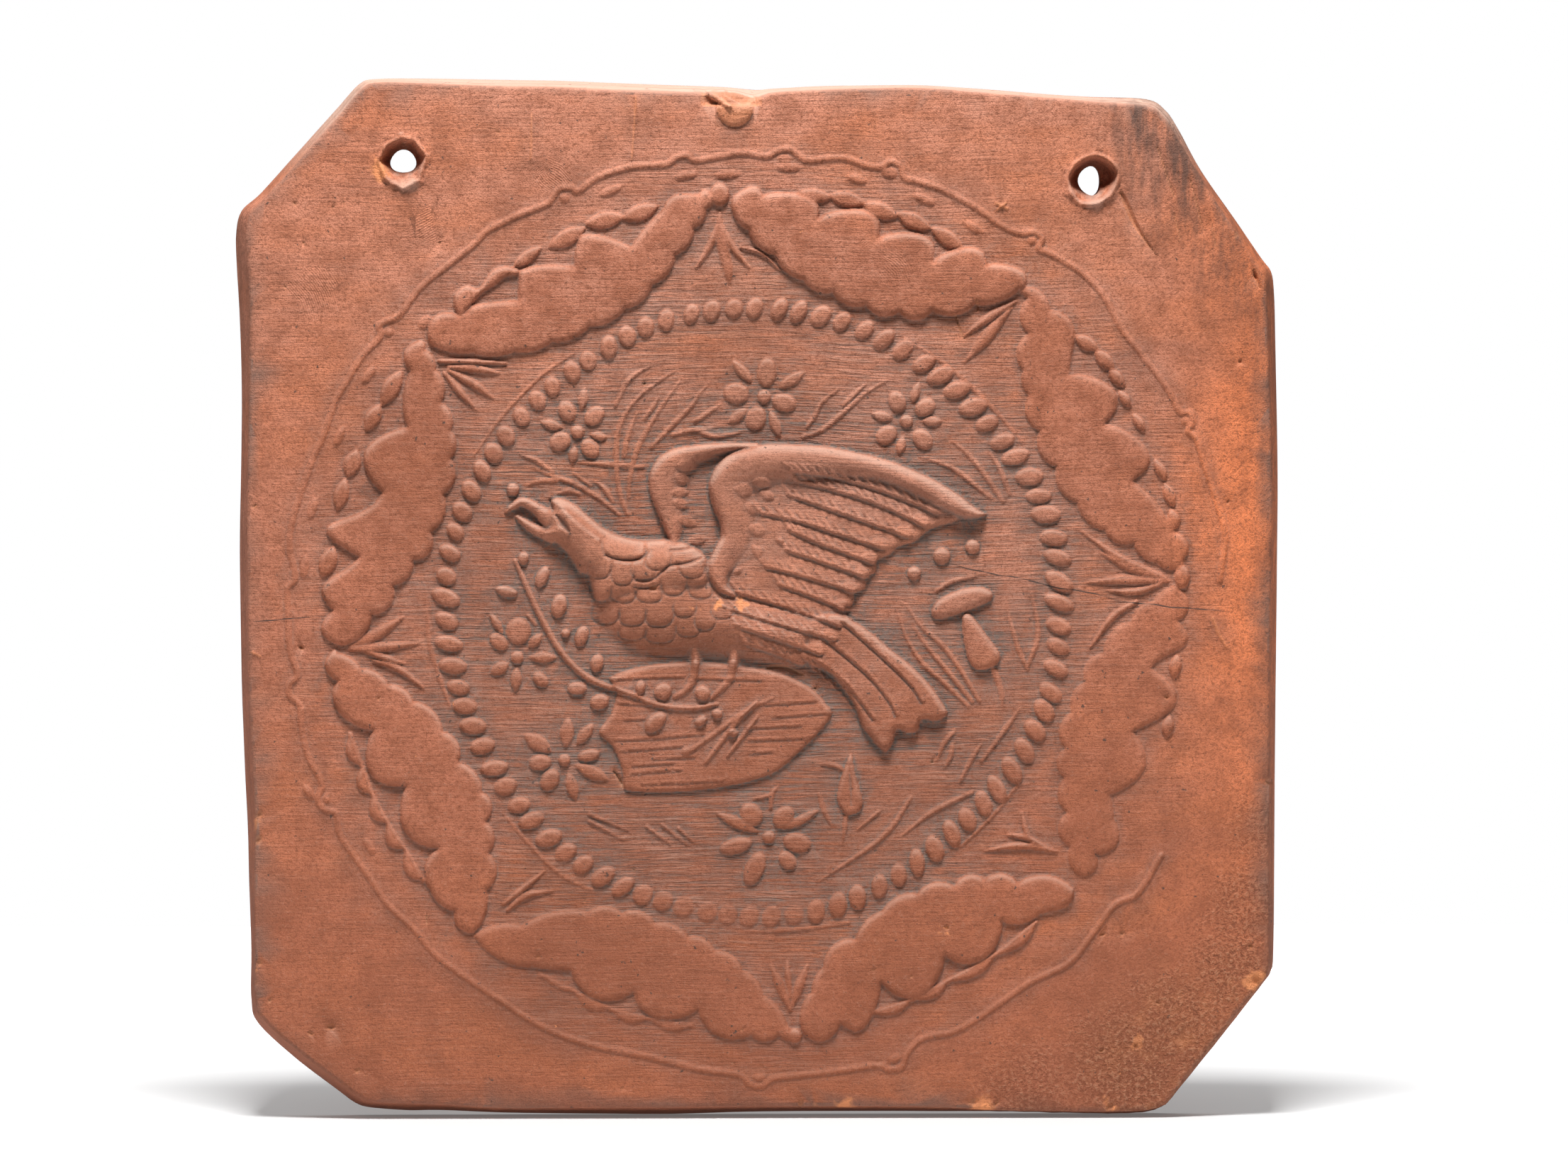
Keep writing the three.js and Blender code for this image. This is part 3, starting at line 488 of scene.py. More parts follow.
    # Leaves of the sprigs and blades that spring from the knots: x, z, half width at each row.
    sprigs: tuple[tuple[Row, ...], ...] = (
        ((-9, 92, 0.5), (-8.6, 86, 1.5), (-7, 79, 1.2), (-6.6, 75.3, 0.3)),
        ((-9.3, 90, 0.4), (-11, 85, 1), (-14.5, 79.2, 0.3)),
        ((-8.8, 90, 0.4), (-6.2, 84.5, 1), (-1.8, 79, 0.3)),
        ((-4, 84, 0.3), (1, 82.5, 0.4), (5.5, 78.5, 0.2)),
        ((-76, 56.8, 0.5), (-68, 56.6, 0.6), (-60, 56.2, 0.3)),
        ((-74, 55.4, 0.4), (-67, 54.8, 1), (-61.6, 53.8, 0.2)),
        ((-74, 54.5, 0.4), (-67.5, 51, 1.1), (-63, 47.6, 0.2)),
        ((-75, 54, 0.4), (-71.5, 49.8, 1), (-67.3, 45, 0.2)),
        ((62, 71, 0.4), (56, 67.5, 1.1), (49.5, 62.6, 0.2)),
        ((61, 69.5, 0.4), (55, 62.5, 1.5), (49.8, 56.4, 0.2)),
        ((97, 5.4, 0.5), (88, 9, 1), (77, 16.4, 0.2)),
        ((98, 4.6, 0.5), (90, 7, 1.2), (82, 11, 0.2)),
        ((98.5, 3.8, 0.5), (88, 4.2, 1.2), (79, 3.6, 0.2)),
        ((97, 3.2, 0.4), (91, 1.4, 0.9), (84, 1.6, 0.2)),
        ((91, -1, 0.5), (85.4, -4.6, 0.9), (80, -12, 0.3)),
        ((-97.5, -11.6, 0.5), (-91, -8.6, 1.5), (-84.6, -4.4, 0.3)),
        ((-97.5, -12.3, 0.5), (-90, -11.8, 1.3), (-81, -10.8, 0.3)),
        ((-94, -12.8, 0.4), (-89, -14.4, 0.9), (-84.4, -15.8, 0.2)),
        ((-92, -15, 0.4), (-85.5, -17.2, 0.9), (-80, -21.6, 0.3)),
        ((-60, -75, 0.4), (-55.3, -71.4, 0.9), (-49, -70.4, 0.2)),
        ((-61, -73.6, 0.4), (-56, -69.6, 0.8), (-51, -65.6, 0.2)),
        ((72, -61, 0.4), (63, -59.6, 0.9), (54.5, -60.9, 0.2)),
        ((70, -60.4, 0.4), (65, -57.8, 0.8), (60, -57, 0.2)),
        ((67, -60.4, 0.3), (64.5, -56, 0.7), (63.6, -51.5, 0.2)),
        ((8, -99, 0.6), (5.6, -93.4, 1.3), (3.2, -88, 0.3)),
        ((8.4, -98, 0.6), (10.2, -93, 1.3), (12.2, -88, 0.3)),
        ((8, -96, 0.5), (7.4, -91, 0.9), (7.2, -87.4, 0.3)),
    )

    def carve(self, relief: Relief) -> None:
        """Raises the whole border."""
        relief.stroke([(x, z, self.line_width) for x, z in self.ring_line], self.line_height, Profile.FLAT, per=6)
        for row in self.ring_buds:
            relief.boss((*row, 0), self.line_height)
        for row in self.low_ovals:
            relief.boss((*row, 0), 0.55, Profile.FLAT)
        for string in self.leaf_strings:
            self.carve_leaves(relief, string)
        for row in self.leaves:
            relief.boss((*row, 1), self.leaf_height, Profile.FLAT)
        for festoon in self.festoons:
            festoon.carve(relief)
        relief.plate(smooth(self.lone_leaf, 4, closed=True), 1.4, 1.5)
        for row in self.knots:
            relief.boss((*row, 0), self.knot_height, Profile.FLAT)
        for leaf in self.sprigs:
            relief.stroke(leaf, self.sprig_height, per=6)

    def carve_leaves(self, relief: Relief, string: tuple[Row, ...]) -> None:
        """Raises the stem and the half leaves of one string."""
        height = self.leaf_height * min(1.0, string[0][2] / 2.2)
        for start, end in zip(string, string[1:]):
            leaf = lobed((start, end[:2]), per=12, lean=1.2)
            relief.plate(leaf, height, 1.3)
        relief.stroke([(x, z, 0.55) for x, z, *_ in string], height * 0.8, per=6)


@dataclass
class Beads:
    """The oval of slanted beads round the picture, and the thin lines outside parts of it."""

    count: int = 86
    height: float = 1.0
    lean: float = -24.0
    # Middle line of the beads: x, z.
    track: tuple[Row, ...] = (
        (72.4, -4), (72.2, 9), (69.6, 19), (64.6, 30.2), (57, 39.5), (47.5, 50.3), (34, 60), (19, 66.6),
        (2.6, 69.3), (-13, 68.5), (-26.3, 65), (-40, 57.2), (-52.4, 47.6), (-62, 36.3), (-69.5, 23.5),
        (-74, 9), (-74.4, -5), (-72.3, -19), (-66.8, -33.5), (-57.7, -49), (-46, -61), (-30.2, -70.2),
        (-12.4, -75.4), (4.5, -76.6), (19, -74), (34.4, -66.4), (48.3, -55.4), (60.4, -42.6), (68.4, -28.4),
        (71.7, -17),
    )
    lines: tuple[tuple[Row, ...], ...] = (
        ((-44, 58.6, 0.3), (-52, 53, 0.45), (-61, 43.7, 0.5), (-68, 34, 0.3)),
        ((35, 62.4, 0.3), (45, 56, 0.6), (55, 47, 0.65), (63.6, 37.4, 0.3)),
        ((-79.2, -1, 0.3), (-78.6, -10.7, 0.55), (-76.2, -18.9, 0.55), (-73.6, -26, 0.3)),
        ((-61, -51.6, 0.3), (-55.3, -58.4, 0.5), (-47.5, -66.2, 0.5), (-39.6, -70.2, 0.3)),
        ((-3, -80, 0.3), (8, -79.8, 0.45), (22, -78.2, 0.3)),
        ((63.4, -44, 0.3), (57, -52, 0.5), (48.6, -60.2, 0.3)),
    )

    def carve(self, relief: Relief) -> None:
        """Raises the beads at even steps, some of them fuller than others."""
        track = smooth(self.track, 12, closed=True)
        track = np.vstack([track, track[:1]])
        run = np.concatenate([[0], np.cumsum(np.hypot(*np.diff(track, axis=0).T))])
        rng = np.random.default_rng(7)
        for i in range(self.count):
            at = run[-1] * (i + 0.5 + rng.uniform(-0.08, 0.08)) / self.count
            x, z = (np.interp(at, run, track[:, k]) for k in (0, 1))
            ahead = [np.interp((at + 1) % run[-1], run, track[:, k]) for k in (0, 1)]
            way = math.degrees(math.atan2(ahead[1] - z, ahead[0] - x))
            low = np.clip((z + 40) / -25, 0, 1) * np.clip((30 - abs(x + 5)) / 15, 0, 1)
            full = rng.uniform(0.88, 1.14)
            slant = way + 90 + self.lean + rng.uniform(-8, 8)
            longer = 0.9 * np.clip(x / 60, 0, 1) + 0.7 * np.clip(-x / 60, 0, 1) * (z < 5)
            row = (x, z, (2.6 + longer) * full, 2.05 * rng.uniform(0.9, 1.08) + 0.4 * low, slant, 0)
            relief.boss(row, self.height * full * (1 - 0.4 * low), Profile.FLAT)
        for line in self.lines:
            relief.stroke(line, 0.4, per=6)


@dataclass
class Meadow:
    """What grows in the field: flowers, grass, the tulip, the branch, the bean and the bud."""

    petal_height: float = 1.0
    grass_height: float = 0.55
    # Flowers: eye x, z, radius, then petals as x and z from the eye, half length, half width, pointed or not.
    flowers: tuple[tuple[Row, ...], ...] = (
        ((-43, 39.8, 1.6), (-2.5, 5, 2.7, 2.1, 0), (4, 3.8, 2.8, 2.1, 0), (-4.2, -2.3, 2.7, 2.3, 0),
         (3, -4, 2.6, 2.1, 0), (1.3, 7.9, 2.9, 1.2, 1), (-6.3, 1.7, 2.9, 1.2, 1), (5, -1, 2.3, 1.1, 1),
         (-1, -5.6, 2.3, 1.2, 1)),
        ((1.7, 48.2, 1.7), (0.6, 5.8, 3.6, 2.4, 0), (4.8, -1.4, 3.1, 2.2, 0), (-2, -5.2, 3, 2.6, 0),
         (-6.7, 0.8, 3.2, 2.6, 0), (-5.3, 6.1, 3.7, 1.3, 1), (6.6, 4, 3.8, 1.4, 1), (2.6, -6.6, 3.7, 1.3, 1),
         (-6.2, -4.5, 3.2, 1.3, 1)),
        ((35.8, 42.3, 1.6), (-2.2, 4.7, 2.7, 2.1, 0), (4.5, 3.3, 2.7, 2.1, 0), (-4.8, -3.3, 2.8, 2.2, 0),
         (3.9, -4.3, 2.9, 2.2, 0), (2.2, 6.9, 2.7, 1.1, 1), (6.2, 0, 2.6, 1.2, 1), (-5.8, 1.2, 2.8, 1.2, 1),
         (-1.3, -5.8, 2.4, 1.2, 1)),
        ((-57.5, -14.3, 1.6), (0.3, 6.3, 3.3, 3.1, 0), (4.3, 4, 2.3, 1.3, 1), (6.2, 0, 3.4, 1.4, 1),
         (5.6, -5.3, 2.2, 1.6, 0), (-0.3, -5.3, 3, 1.4, 1), (-4.2, -2.6, 2.7, 1.6, 1), (-4.4, 3.8, 2.6, 1.8, 0),
         (-5, 8.2, 3.2, 1, 1)),
        ((-46.2, -38.9, 1.5), (0.6, 6.6, 3.8, 1.8, 1), (4.9, 6.2, 3.3, 1.5, 1), (5.8, 1.1, 2.8, 1.5, 0),
         (6.6, -3, 4.6, 1.7, 1), (1.8, -6.3, 3.7, 1.6, 1), (-3.5, -4.8, 2.9, 2.2, 0), (-5.9, -0.6, 2.8, 2, 0),
         (-6.4, 4.1, 4.1, 2, 1)),
        ((2.8, -57.5, 1.6), (-4.2, 5.4, 3.1, 2.7, 0), (3.6, 4.8, 3.1, 2.4, 0), (6.8, -1.4, 3.5, 2.5, 0),
         (4.5, -5.6, 2.6, 2, 0), (-3.4, -7.6, 4.4, 2.4, 0), (-7.9, -2.1, 4.1, 2, 0), (-7.6, 3.5, 6, 1.4, 1),
         (7.8, 4.2, 5, 1.2, 1)),
    )
    # Blades of grass and thin stalks: x, z along each, thickest near the root.
    grass: tuple[tuple[Row, ...], ...] = (
        ((-31, 20), (-32.6, 24), (-33.6, 30), (-33.8, 36), (-33, 41), (-31, 45), (-28, 48.6), (-24, 51.6), (-19.4, 54.6)),
        ((-30.8, 24), (-30.6, 28), (-29.8, 32), (-28.4, 36.4), (-25.6, 41.6), (-22.4, 46.6), (-20, 50), (-18.4, 52)),
        ((-31.8, 34), (-31.4, 37), (-30.2, 41), (-28.6, 44.6)), ((-27, 43), (-24.8, 46), (-23.6, 48)),
        ((-25.4, 36), (-22, 39.6), (-19, 42.8), (-15.6, 46.2), (-13.8, 49), (-12, 50.8)), ((-15, 42.2), (-12, 44.2), (-9, 46.2)),
        ((-34, 46), (-32.6, 49), (-31, 52), (-28.5, 54), (-25.6, 55.6)),
        ((-20, 39.2), (-15, 40.2), (-12, 39.2), (-9.6, 38.7), (-6, 39.2), (-4, 39.6)),
        ((-33, 20), (-38, 24), (-44, 27.4), (-50, 29.6), (-53.6, 31.2)), ((-49, 30.2), (-53, 33), (-57, 34.4)),
        ((-40, 27), (-44, 30)), ((-34.6, 23), (-36.6, 26.2), (-39, 28)), ((-48, 28), (-52, 28.2), (-55.4, 26.9)),
        ((-42.6, 25), (-45, 25.7), (-48, 25)),
        ((-27.4, 31.3), (-34, 31.9), (-43, 32.5)), ((12, 41), (13.8, 43.6), (15.6, 47), (19.6, 50)),
        ((11, 38.6), (15, 40), (18.6, 42.6), (22, 45.6), (26, 49), (31, 52)), ((20.6, 46), (22.4, 48), (26, 51.2)),
        ((56, 24), (52, 27.2), (48, 30.4), (44, 32.3), (40, 33.6)), ((59, 23), (57, 26), (53.5, 31), (49.5, 35.4), (46.4, 37.8)),
        ((60.5, 24.8), (59.4, 28), (57.6, 32), (55.2, 35)), ((50.6, -26), (45, -20.5), (40, -16), (36, -10), (34, -4)),
        ((51.6, -25), (46, -18), (41, -12), (37.5, -7)), ((53.4, -25), (48, -16), (44, -11), (39.5, -7), (35.6, -1.5)),
        ((56, -16), (58, -21), (59, -26.4)),
        ((-40.2, -51.9), (-31, -55.8)), ((-40.2, -53.6), (-31.9, -58.1)), ((-26.5, -54.9), (-20.7, -59.2)),
        ((-22.8, -54.5), (-16.8, -59.2)), ((-18.9, -55.3), (-15, -58.8)), ((29.2, -51.4), (24, -55.8)),
        ((37, -48), (30.1, -57.5), (15, -68)), ((51.7, -46.7), (42.2, -51.4), (34.8, -57.1)),
        ((14.9, -47), (16, -51), (18, -55)), ((53.9, -39.3), (60, -31), (63, -26.7)),
        ((48.7, -44.1), (51.7, -38.4), (53.9, -35)), ((47.4, -32), (44.8, -35), (43.1, -39.3)),
        ((47, -35), (46.5, -38), (45, -41)), ((59.1, -24.1), (57.8, -19.4), (56.3, -15.9)),
        ((64.9, -17.2), (62.6, -12), (60, -2.9)), ((65.1, -16.3), (67.5, -8.5), (65.8, 1)),
        ((43, 1.6), (47, 4), (53, 5.2)), ((21.4, -52.3), (21, -55.3), (20.5, -58.8)),
        ((20.7, -41.5), (18.5, -40.2), (15.1, -40)), ((3.2, -50.6), (3.6, -47), (5, -45.4)),
        ((2.8, -47.5), (-1, -48.4)), ((-64, -4.2), (-61.4, -6.1)), ((-54.9, -4.2), (-53, -6.6)),
    )
    branch: tuple[Row, ...] = (
        (-58, 9, 0.5), (-54.5, 1, 0.75), (-51.4, -5.5, 0.8), (-46.7, -13.3, 0.8), (-41.5, -18.5, 0.85),
        (-36.3, -21.1, 0.8), (-30.2, -23, 0.7), (-23.7, -25.6, 0.65), (-15.9, -26.4, 0.6), (-9.6, -25.5, 0.4),
    )
    # Leaves on the branch: x, z, half length, half width, turn.
    branch_leaves: tuple[Row, ...] = (
        (-47.5, -2, 3, 1.9, 80), (-45.9, -8.5, 1.1, 1, 0), (-42.1, -9.2, 2.6, 1.6, 72), (-38.4, -15.7, 2.3, 1.6, 80),
        (-43.2, -21.7, 2.4, 1.6, 0), (-37.8, -24.9, 2.4, 1.9, 14), (-56, 9.5, 1.6, 1.3, 80),
        (-51.5, 5, 2.7, 1.5, 66), (-60, 1.5, 2.8, 1.3, -14), (-28, -21.5, 1.8, 1.2, 80),
        (-22.6, -22.4, 2.2, 2, 30), (-13.1, -22.8, 2, 1.8, 140), (-24.4, -29.8, 3.1, 1.9, 42),
        (-13.5, -29.5, 1.6, 1.1, 30), (-9.6, -27.8, 1.3, 1.2, 0), (-5.7, -32.4, 1.1, 1, 0),
    )
    tulip: tuple[Row, ...] = (
        (22.5, -37.6), (23.6, -42.3), (25.3, -48), (25.1, -50.6), (23.6, -51.9), (21, -51.9), (19.2, -48.8),
        (19.4, -45.8), (20.7, -41.5),
    )
    bean: tuple[Row, ...] = (
        (41.8, -3.2), (43, -0.8), (46, 1), (50, 2.3), (54, 2.6), (56.4, 1.2), (56, -0.8), (52.6, -2.4), (48, -4.2),
        (44, -5.2), (42.2, -4.8),
    )
    bud: tuple[Row, ...] = (
        (49.2, -4.4), (51.2, -4), (54.6, -8.2), (58, -12.8), (58, -15.6), (55.6, -17.1), (52.8, -17.4), (50.7, -15.2),
        (49.7, -11.4), (49.2, -8),
    )
    studs: tuple[Row, ...] = ((-58.5, 26, 1.6), (37.7, 5.8, 1.7), (44.3, 10, 2.1), (51.7, 12.2, 1.8))

    def carve(self, relief: Relief) -> None:
        """Raises every plant."""
        for (x, z, radius), *petals in self.flowers:
            relief.boss((x, z, radius, radius, 0, 0), self.petal_height, Profile.FLAT)
            for dx, dz, length, width, pointed in petals:
                turn = math.degrees(math.atan2(dz, dx))
                row = (x + dx, z + dz, length, width, turn, pointed)
                relief.boss(row, self.petal_height * (0.8 if pointed else 1), Profile.FLAT)
        for blade in self.grass:
            widths = np.interp(np.linspace(0, 1, len(blade)), (0, 0.45, 1), (0.5, 0.75, 0.25))
            relief.stroke([(x, z, w) for (x, z), w in zip(blade, widths)], self.grass_height, per=6)
        relief.plate(smooth(self.tulip, 5, closed=True), 1.2, 1.2)
        relief.stroke([(22, -40, 0.3), (22.4, -45, 0.5), (22.6, -50, 0.3)], -0.5, Profile.SOFT)
        relief.plate(smooth(self.bean, 5, closed=True), 1.8, 2.2)
        relief.plate(smooth(self.bud, 5, closed=True), 1.8, 2.2)
        relief.stroke([(40.7, -2.3, 0.25), (42, -1, 0.25)], -0.5, Profile.SOFT)
        for x, z, radius in self.studs:
            relief.boss((x, z, radius, radius, 0, 0), 1.4, Profile.ROUND)

    def carve_branch(self, relief: Relief) -> None:
        """Raises the branch, which lies over the shield."""
        relief.stroke(self.branch, 0.95, add=True)
        for row in self.branch_leaves:
            relief.boss((*row, 0), 1.25, Profile.FLAT, add=True)


@dataclass
class Shield:
    """The striped shield that the eagle stands on, with three arrows."""

    height: float = 1.15
    outline: tuple[Row, ...] = (
        (-35.4, -19.4), (-31, -17.2), (-22.8, -15.7), (-12, -15.4), (-2, -16.6), (5.8, -18.1), (12.7, -21.5),
        (16.9, -25.8), (18, -28), (15.3, -31.9), (10.6, -36.7), (3.6, -42.3), (-7.7, -45.4), (-20.7, -46.7),
        (-31.2, -46.2), (-32, -43.4), (-32.8, -40.2), (-35, -35.4), (-38, -32.2), (-35, -27.6), (-33.8, -22.6),
    )
    lines: tuple[tuple[Row, ...], ...] = (
        ((-35.4, -19.4), (-26, -18.9), (-17.6, -18.8)), ((-15, -19.1), (1, -19.5)), ((-33.5, -25), (-26, -25.4)),
        ((-34.1, -33.9), (-24, -33.4), (-12.9, -32.4)), ((-32.8, -36.5), (-18.1, -35.4)), ((-25, -38.4), (-15, -38)),
        ((-30.2, -41.9), (-18.1, -41)), ((-27.6, -44.5), (-7.7, -43.6)), ((3.6, -28.4), (17.2, -27.4)),
        ((-2, -31), (10.6, -30.4)), ((-2, -33.9), (14.4, -33.4)), ((-2, -37.1), (3.6, -36.7)),
        ((-32, -29), (-27, -28.8)), ((-30, -40), (-20, -39.4)), ((2, -25.4), (14, -24.6)),
    )
    arrows: tuple[tuple[Row, ...], ...] = (
        ((3.6, -24.1, 0.35), (-2, -26.7, 0.7), (-14.2, -35.4, 0.6), (-17, -36.8, 1.1), (-17.6, -37.4, 0.3)),
        ((-0.1, -24.6, 0.35), (-6.4, -31.6, 0.65), (-11.6, -38.4, 0.6), (-12.6, -39.8, 0.3)),
        ((0.1, -28.5, 0.35), (-3.4, -33, 0.6), (-7.2, -38, 0.4)),
    )

    def carve(self, relief: Relief) -> None:
        """Raises the shield and cuts its stripes."""
        outline = smooth(self.outline, 4, closed=True)
        relief.plate(outline, self.height, 1.5)
        for line in self.lines:
            relief.stroke([(x, z, 0.45) for x, z in line], 0.28, Profile.SOFT, add=True)
            relief.stroke([(x, z - 0.75, 0.4) for x, z in line], -0.2, Profile.SOFT, add=True)
        part, depth = relief.depth_in(outline, 2.0)
        band = np.clip((-40.5 - relief.z[part]) / 1.5, 0, 1) * np.clip((depth - 0.6) / 0.8, 0, 1)
        hatch = np.sin(2 * np.pi * (relief.x[part] + 0.75 * relief.z[part]) / 1.25)
        relief.height[part] += 0.05 * band * hatch
        for arrow in self.arrows:
            relief.stroke(arrow, 0.65, add=True)


@dataclass
class Eagle:
    """The eagle: head and neck, scaled body, two raised wings, tail and legs."""

    # Head, neck and breast, which stand above the belly along their lower edge.
    neck: tuple[Row, ...] = (
        (-49.3, 21.2), (-49.4, 23.2), (-48, 24), (-45.6, 23.5), (-43, 22), (-40.5, 19.8), (-37, 17), (-33, 15),
        (-28, 13.9), (-21, 14), (-16, 12.6), (-12.4, 10), (-11.4, 6), (-12.4, 2.4), (-17, 0.6), (-24, -0.9),
        (-29, -1.2), (-34, -1.4), (-38.4, -1), (-39.6, 2), (-40.6, 5.3), (-42.6, 6.2), (-44.4, 9), (-46.6, 11.8),
        (-49, 13.6), (-51.4, 14.6), (-51.6, 15.8), (-50.2, 17.6), (-50.4, 19.6),
    )
    neck_height: float = 5.2
    body: tuple[Row, ...] = (
        (-39, 3), (-39.6, -0.6), (-38.6, -4.6), (-35.6, -8.4), (-31.7, -11.6), (-28, -13.5), (-20, -14.6),
        (-10, -15.1), (0, -15.6), (8, -17), (13, -15.6), (17, -10.6), (20.2, -6), (14, -2.6), (4, -0.4), (-4, 1.6),
        (-10, 5), (-14, 11), (-24, 13), (-34, 12),
    )
    body_height: float = 4.3
    upper_beak: tuple[Row, ...] = (
        (-48.6, 18.4, 3), (-50.6, 19.6, 2.1), (-52.4, 21, 1.5), (-54.4, 22.3, 1.35), (-56.4, 23, 1.1),
        (-58.4, 22, 0.8), (-60.2, 20.6, 0.3),
    )
    lower_beak: tuple[Row, ...] = (
        (-49, 15.2, 2.2), (-51.2, 15.6, 1.6), (-53.6, 16.6, 1.3), (-55.8, 18, 1), (-57.6, 19.5, 0.4),
    )
    # The wings' arms: x, z, half width, and how far their soft inner side reaches.
    near_wing: tuple[Row, ...] = (
        (-5.4, 0.6, 0.6, 0.6), (-8.6, 2.6, 1.6, 3), (-10, 6.6, 2.2, 6.5), (-8.6, 10.8, 2, 7.5), (-6.8, 14.4, 2, 8.5),
        (-7, 18.6, 2.2, 11), (-8.3, 23.4, 2.8, 13), (-8.2, 27.6, 3.3, 13), (-5, 31.4, 3.5, 12), (1, 33.2, 3.6, 10.5),
        (9, 33.4, 3.4, 8.5), (18, 32.9, 3.1, 6.5), (30, 30.6, 2.7, 4.4), (39.6, 26.4, 3, 4), (46.8, 22.2, 3, 3),
        (51.6, 20.2, 1.7, 1.7), (54.6, 19.8, 0.3, 0.3),
    )
    near_wing_height: float = 4.0
    web: tuple[Row, ...] = (
        (-7, 1), (4, -2), (14, -5), (19.5, -7.4), (21.4, -5), (21.2, -2.4), (23, -1.6), (23.6, 1), (26, 2.2),
        (26.4, 5), (28.4, 6), (29, 9), (31.4, 10), (34, 12.2), (38, 13.4), (40.4, 15.6), (43.4, 17),
        (48, 18.6), (48, 22), (38, 27), (20, 31.6), (2, 33), (-6, 29), (-7, 18), (-6, 10),
    )
    far_wing: tuple[Row, ...] = (
        (-20, 13.6, 1, 2), (-20.8, 17, 1.6, 4), (-22.4, 21.6, 2, 6), (-23.5, 26, 2.4, 7.4), (-22.9, 30, 2.7, 8),
        (-20, 33.1, 2.5, 6.5), (-14.6, 35, 1.7, 4), (-8, 36, 1.1, 2), (0, 36.4, 0.6, 0.6),
    )
    # Quills of the wing, root to tip. Those from the ninth on lie over the body.
    quills: tuple[tuple[Row, ...], ...] = (
        ((8, 30.6), (17, 29.4), (30, 25.8), (43.4, 20.4)), ((8.4, 28.4), (20.5, 25.4), (30, 22.2), (40.4, 17.4)),
        ((7.1, 25), (20.5, 20.4), (36.4, 14.8)), ((0.2, 20.6), (10.6, 18.4), (19, 15.6), (30.6, 12)),
        ((7.3, 16.6), (15, 13.2), (28, 8.6)), ((6.8, 11.6), (15, 9), (26.4, 5)),
        ((1.9, 7.6), (9, 6), (23.6, 1.6)), ((5, 3.4), (12.8, 0.7), (21.6, -2.9)),
        ((-5.2, 1.6), (7.3, -2.3), (20, -6.5)), ((-9.1, -1.7), (7.3, -6.7), (18.6, -9.8)),
        ((-5.8, -6.1), (7.3, -10.5), (15.2, -13.2)), ((-3.6, -10.5), (4.6, -13.2), (10.9, -15.8)),
    )
    tail: tuple[Row, ...] = (
        (6, -10), (14, -4), (19.7, -3.6), (23.6, -5.8), (27.5, -8.5), (32.7, -12.9), (37, -16.3), (41.3, -20.7),
        (44.6, -25.4), (45.6, -28), (43, -29.6), (39.6, -29.4), (38.6, -31.8), (36.4, -32.6), (33.6, -31.8),
        (32.8, -34.6), (31.2, -36.9), (29.2, -36), (27, -33.4), (25, -30.6), (22.6, -24.6), (17.6, -18.6), (12, -15.6),
    )
    tail_grooves: tuple[tuple[Row, ...], ...] = (
        ((20.1, -6.1), (30.1, -15), (36.6, -21.4), (39.2, -25.4)), ((16.6, -10.7), (26.2, -18.9), (31.4, -25.2), (33, -28.6)),
        ((13.2, -15), (21.4, -21.5), (27.6, -29.5)), ((12, -17), (17.5, -22), (23, -28.6)),
    )
    # Scales of the breast and belly: middle x, z, half width, half height.
    scales: tuple[Row, ...] = (
        (-32, 12.4, 5, 3.2), (-23.8, 9.6, 3, 2.7), (-37.8, 7.6, 2.8, 2.8), (-32.4, 6.4, 2.7, 3.1),
        (-27.2, 7.2, 3, 2.6), (-37.4, 2.2, 2.4, 2.8), (-32.2, 1.2, 2.9, 2.2), (-26, 0.8, 3, 1.8), (-20, 3.9, 3, 3.2),
        (-15.8, 7.6, 3, 2.6), (-36.4, -3.6, 3.2, 2.6), (-29.9, -4, 3.1, 2.6), (-23.4, -4, 3.3, 2.8),
        (-17.4, -2.2, 2.7, 2.3), (-12.4, -5, 2.5, 2.7), (-30, -8.2, 3.2, 1.8), (-23.3, -8.8, 3.4, 1.9),
        (-16.6, -7.2, 2.8, 2), (-13.6, 2, 2.8, 2.2), (-8.4, -3, 2.6, 2),
    )
    # Torn edges between scales: x, z, half width along each.
    tears: tuple[tuple[Row, ...], ...] = (
        ((-30, 4.4, 0.3), (-27, 4.2, 0.7), (-24.6, 4.8, 0.5), (-22, 6.8, 0.3)),
        ((-29.6, 2.8, 0.3), (-27, 2.4, 0.5), (-23.6, 3.3, 0.3)),
        ((-24, 5.6, 0.3), (-21, 7.8, 0.5), (-17, 8.4, 0.5), (-13.4, 9.6, 0.3)),
        ((-21, 11.4, 0.3), (-17, 11.8, 0.5), (-12.6, 13.4, 0.3)),
        ((-36.6, 10.4, 0.3), (-32, 9.2, 0.5), (-28, 9.4, 0.5), (-26, 11.2, 0.3)),
    )
    # Small tufts at the roots of the wings: x, z, half length, half width, turn.
    tufts: tuple[Row, ...] = (
        (-16.9, 31.6, 2.7, 1.6, -6), (-18, 28.6, 2.1, 1.6, -20), (-18.6, 25.3, 2.3, 1.3, 4), (-18.3, 22.6, 2.3, 1.3, -20),
        (-16.8, 18.4, 2.7, 1.4, -20), (-14.4, 13.8, 2.5, 1.4, 14), (-3.2, 25.9, 2.3, 1.7, -8), (1.2, 27.7, 2.5, 1.3, -8),
        (-0.9, 21.7, 2.1, 1.7, -10), (2.4, 24.7, 2.1, 1.2, -25), (0, 16.3, 2.2, 1.6, -20), (0, 11.2, 2, 1.2, -50),
        (-4.6, 6.6, 1.5, 0.7, 25), (5.4, 13.8, 1.1, 0.8, -20),
    )
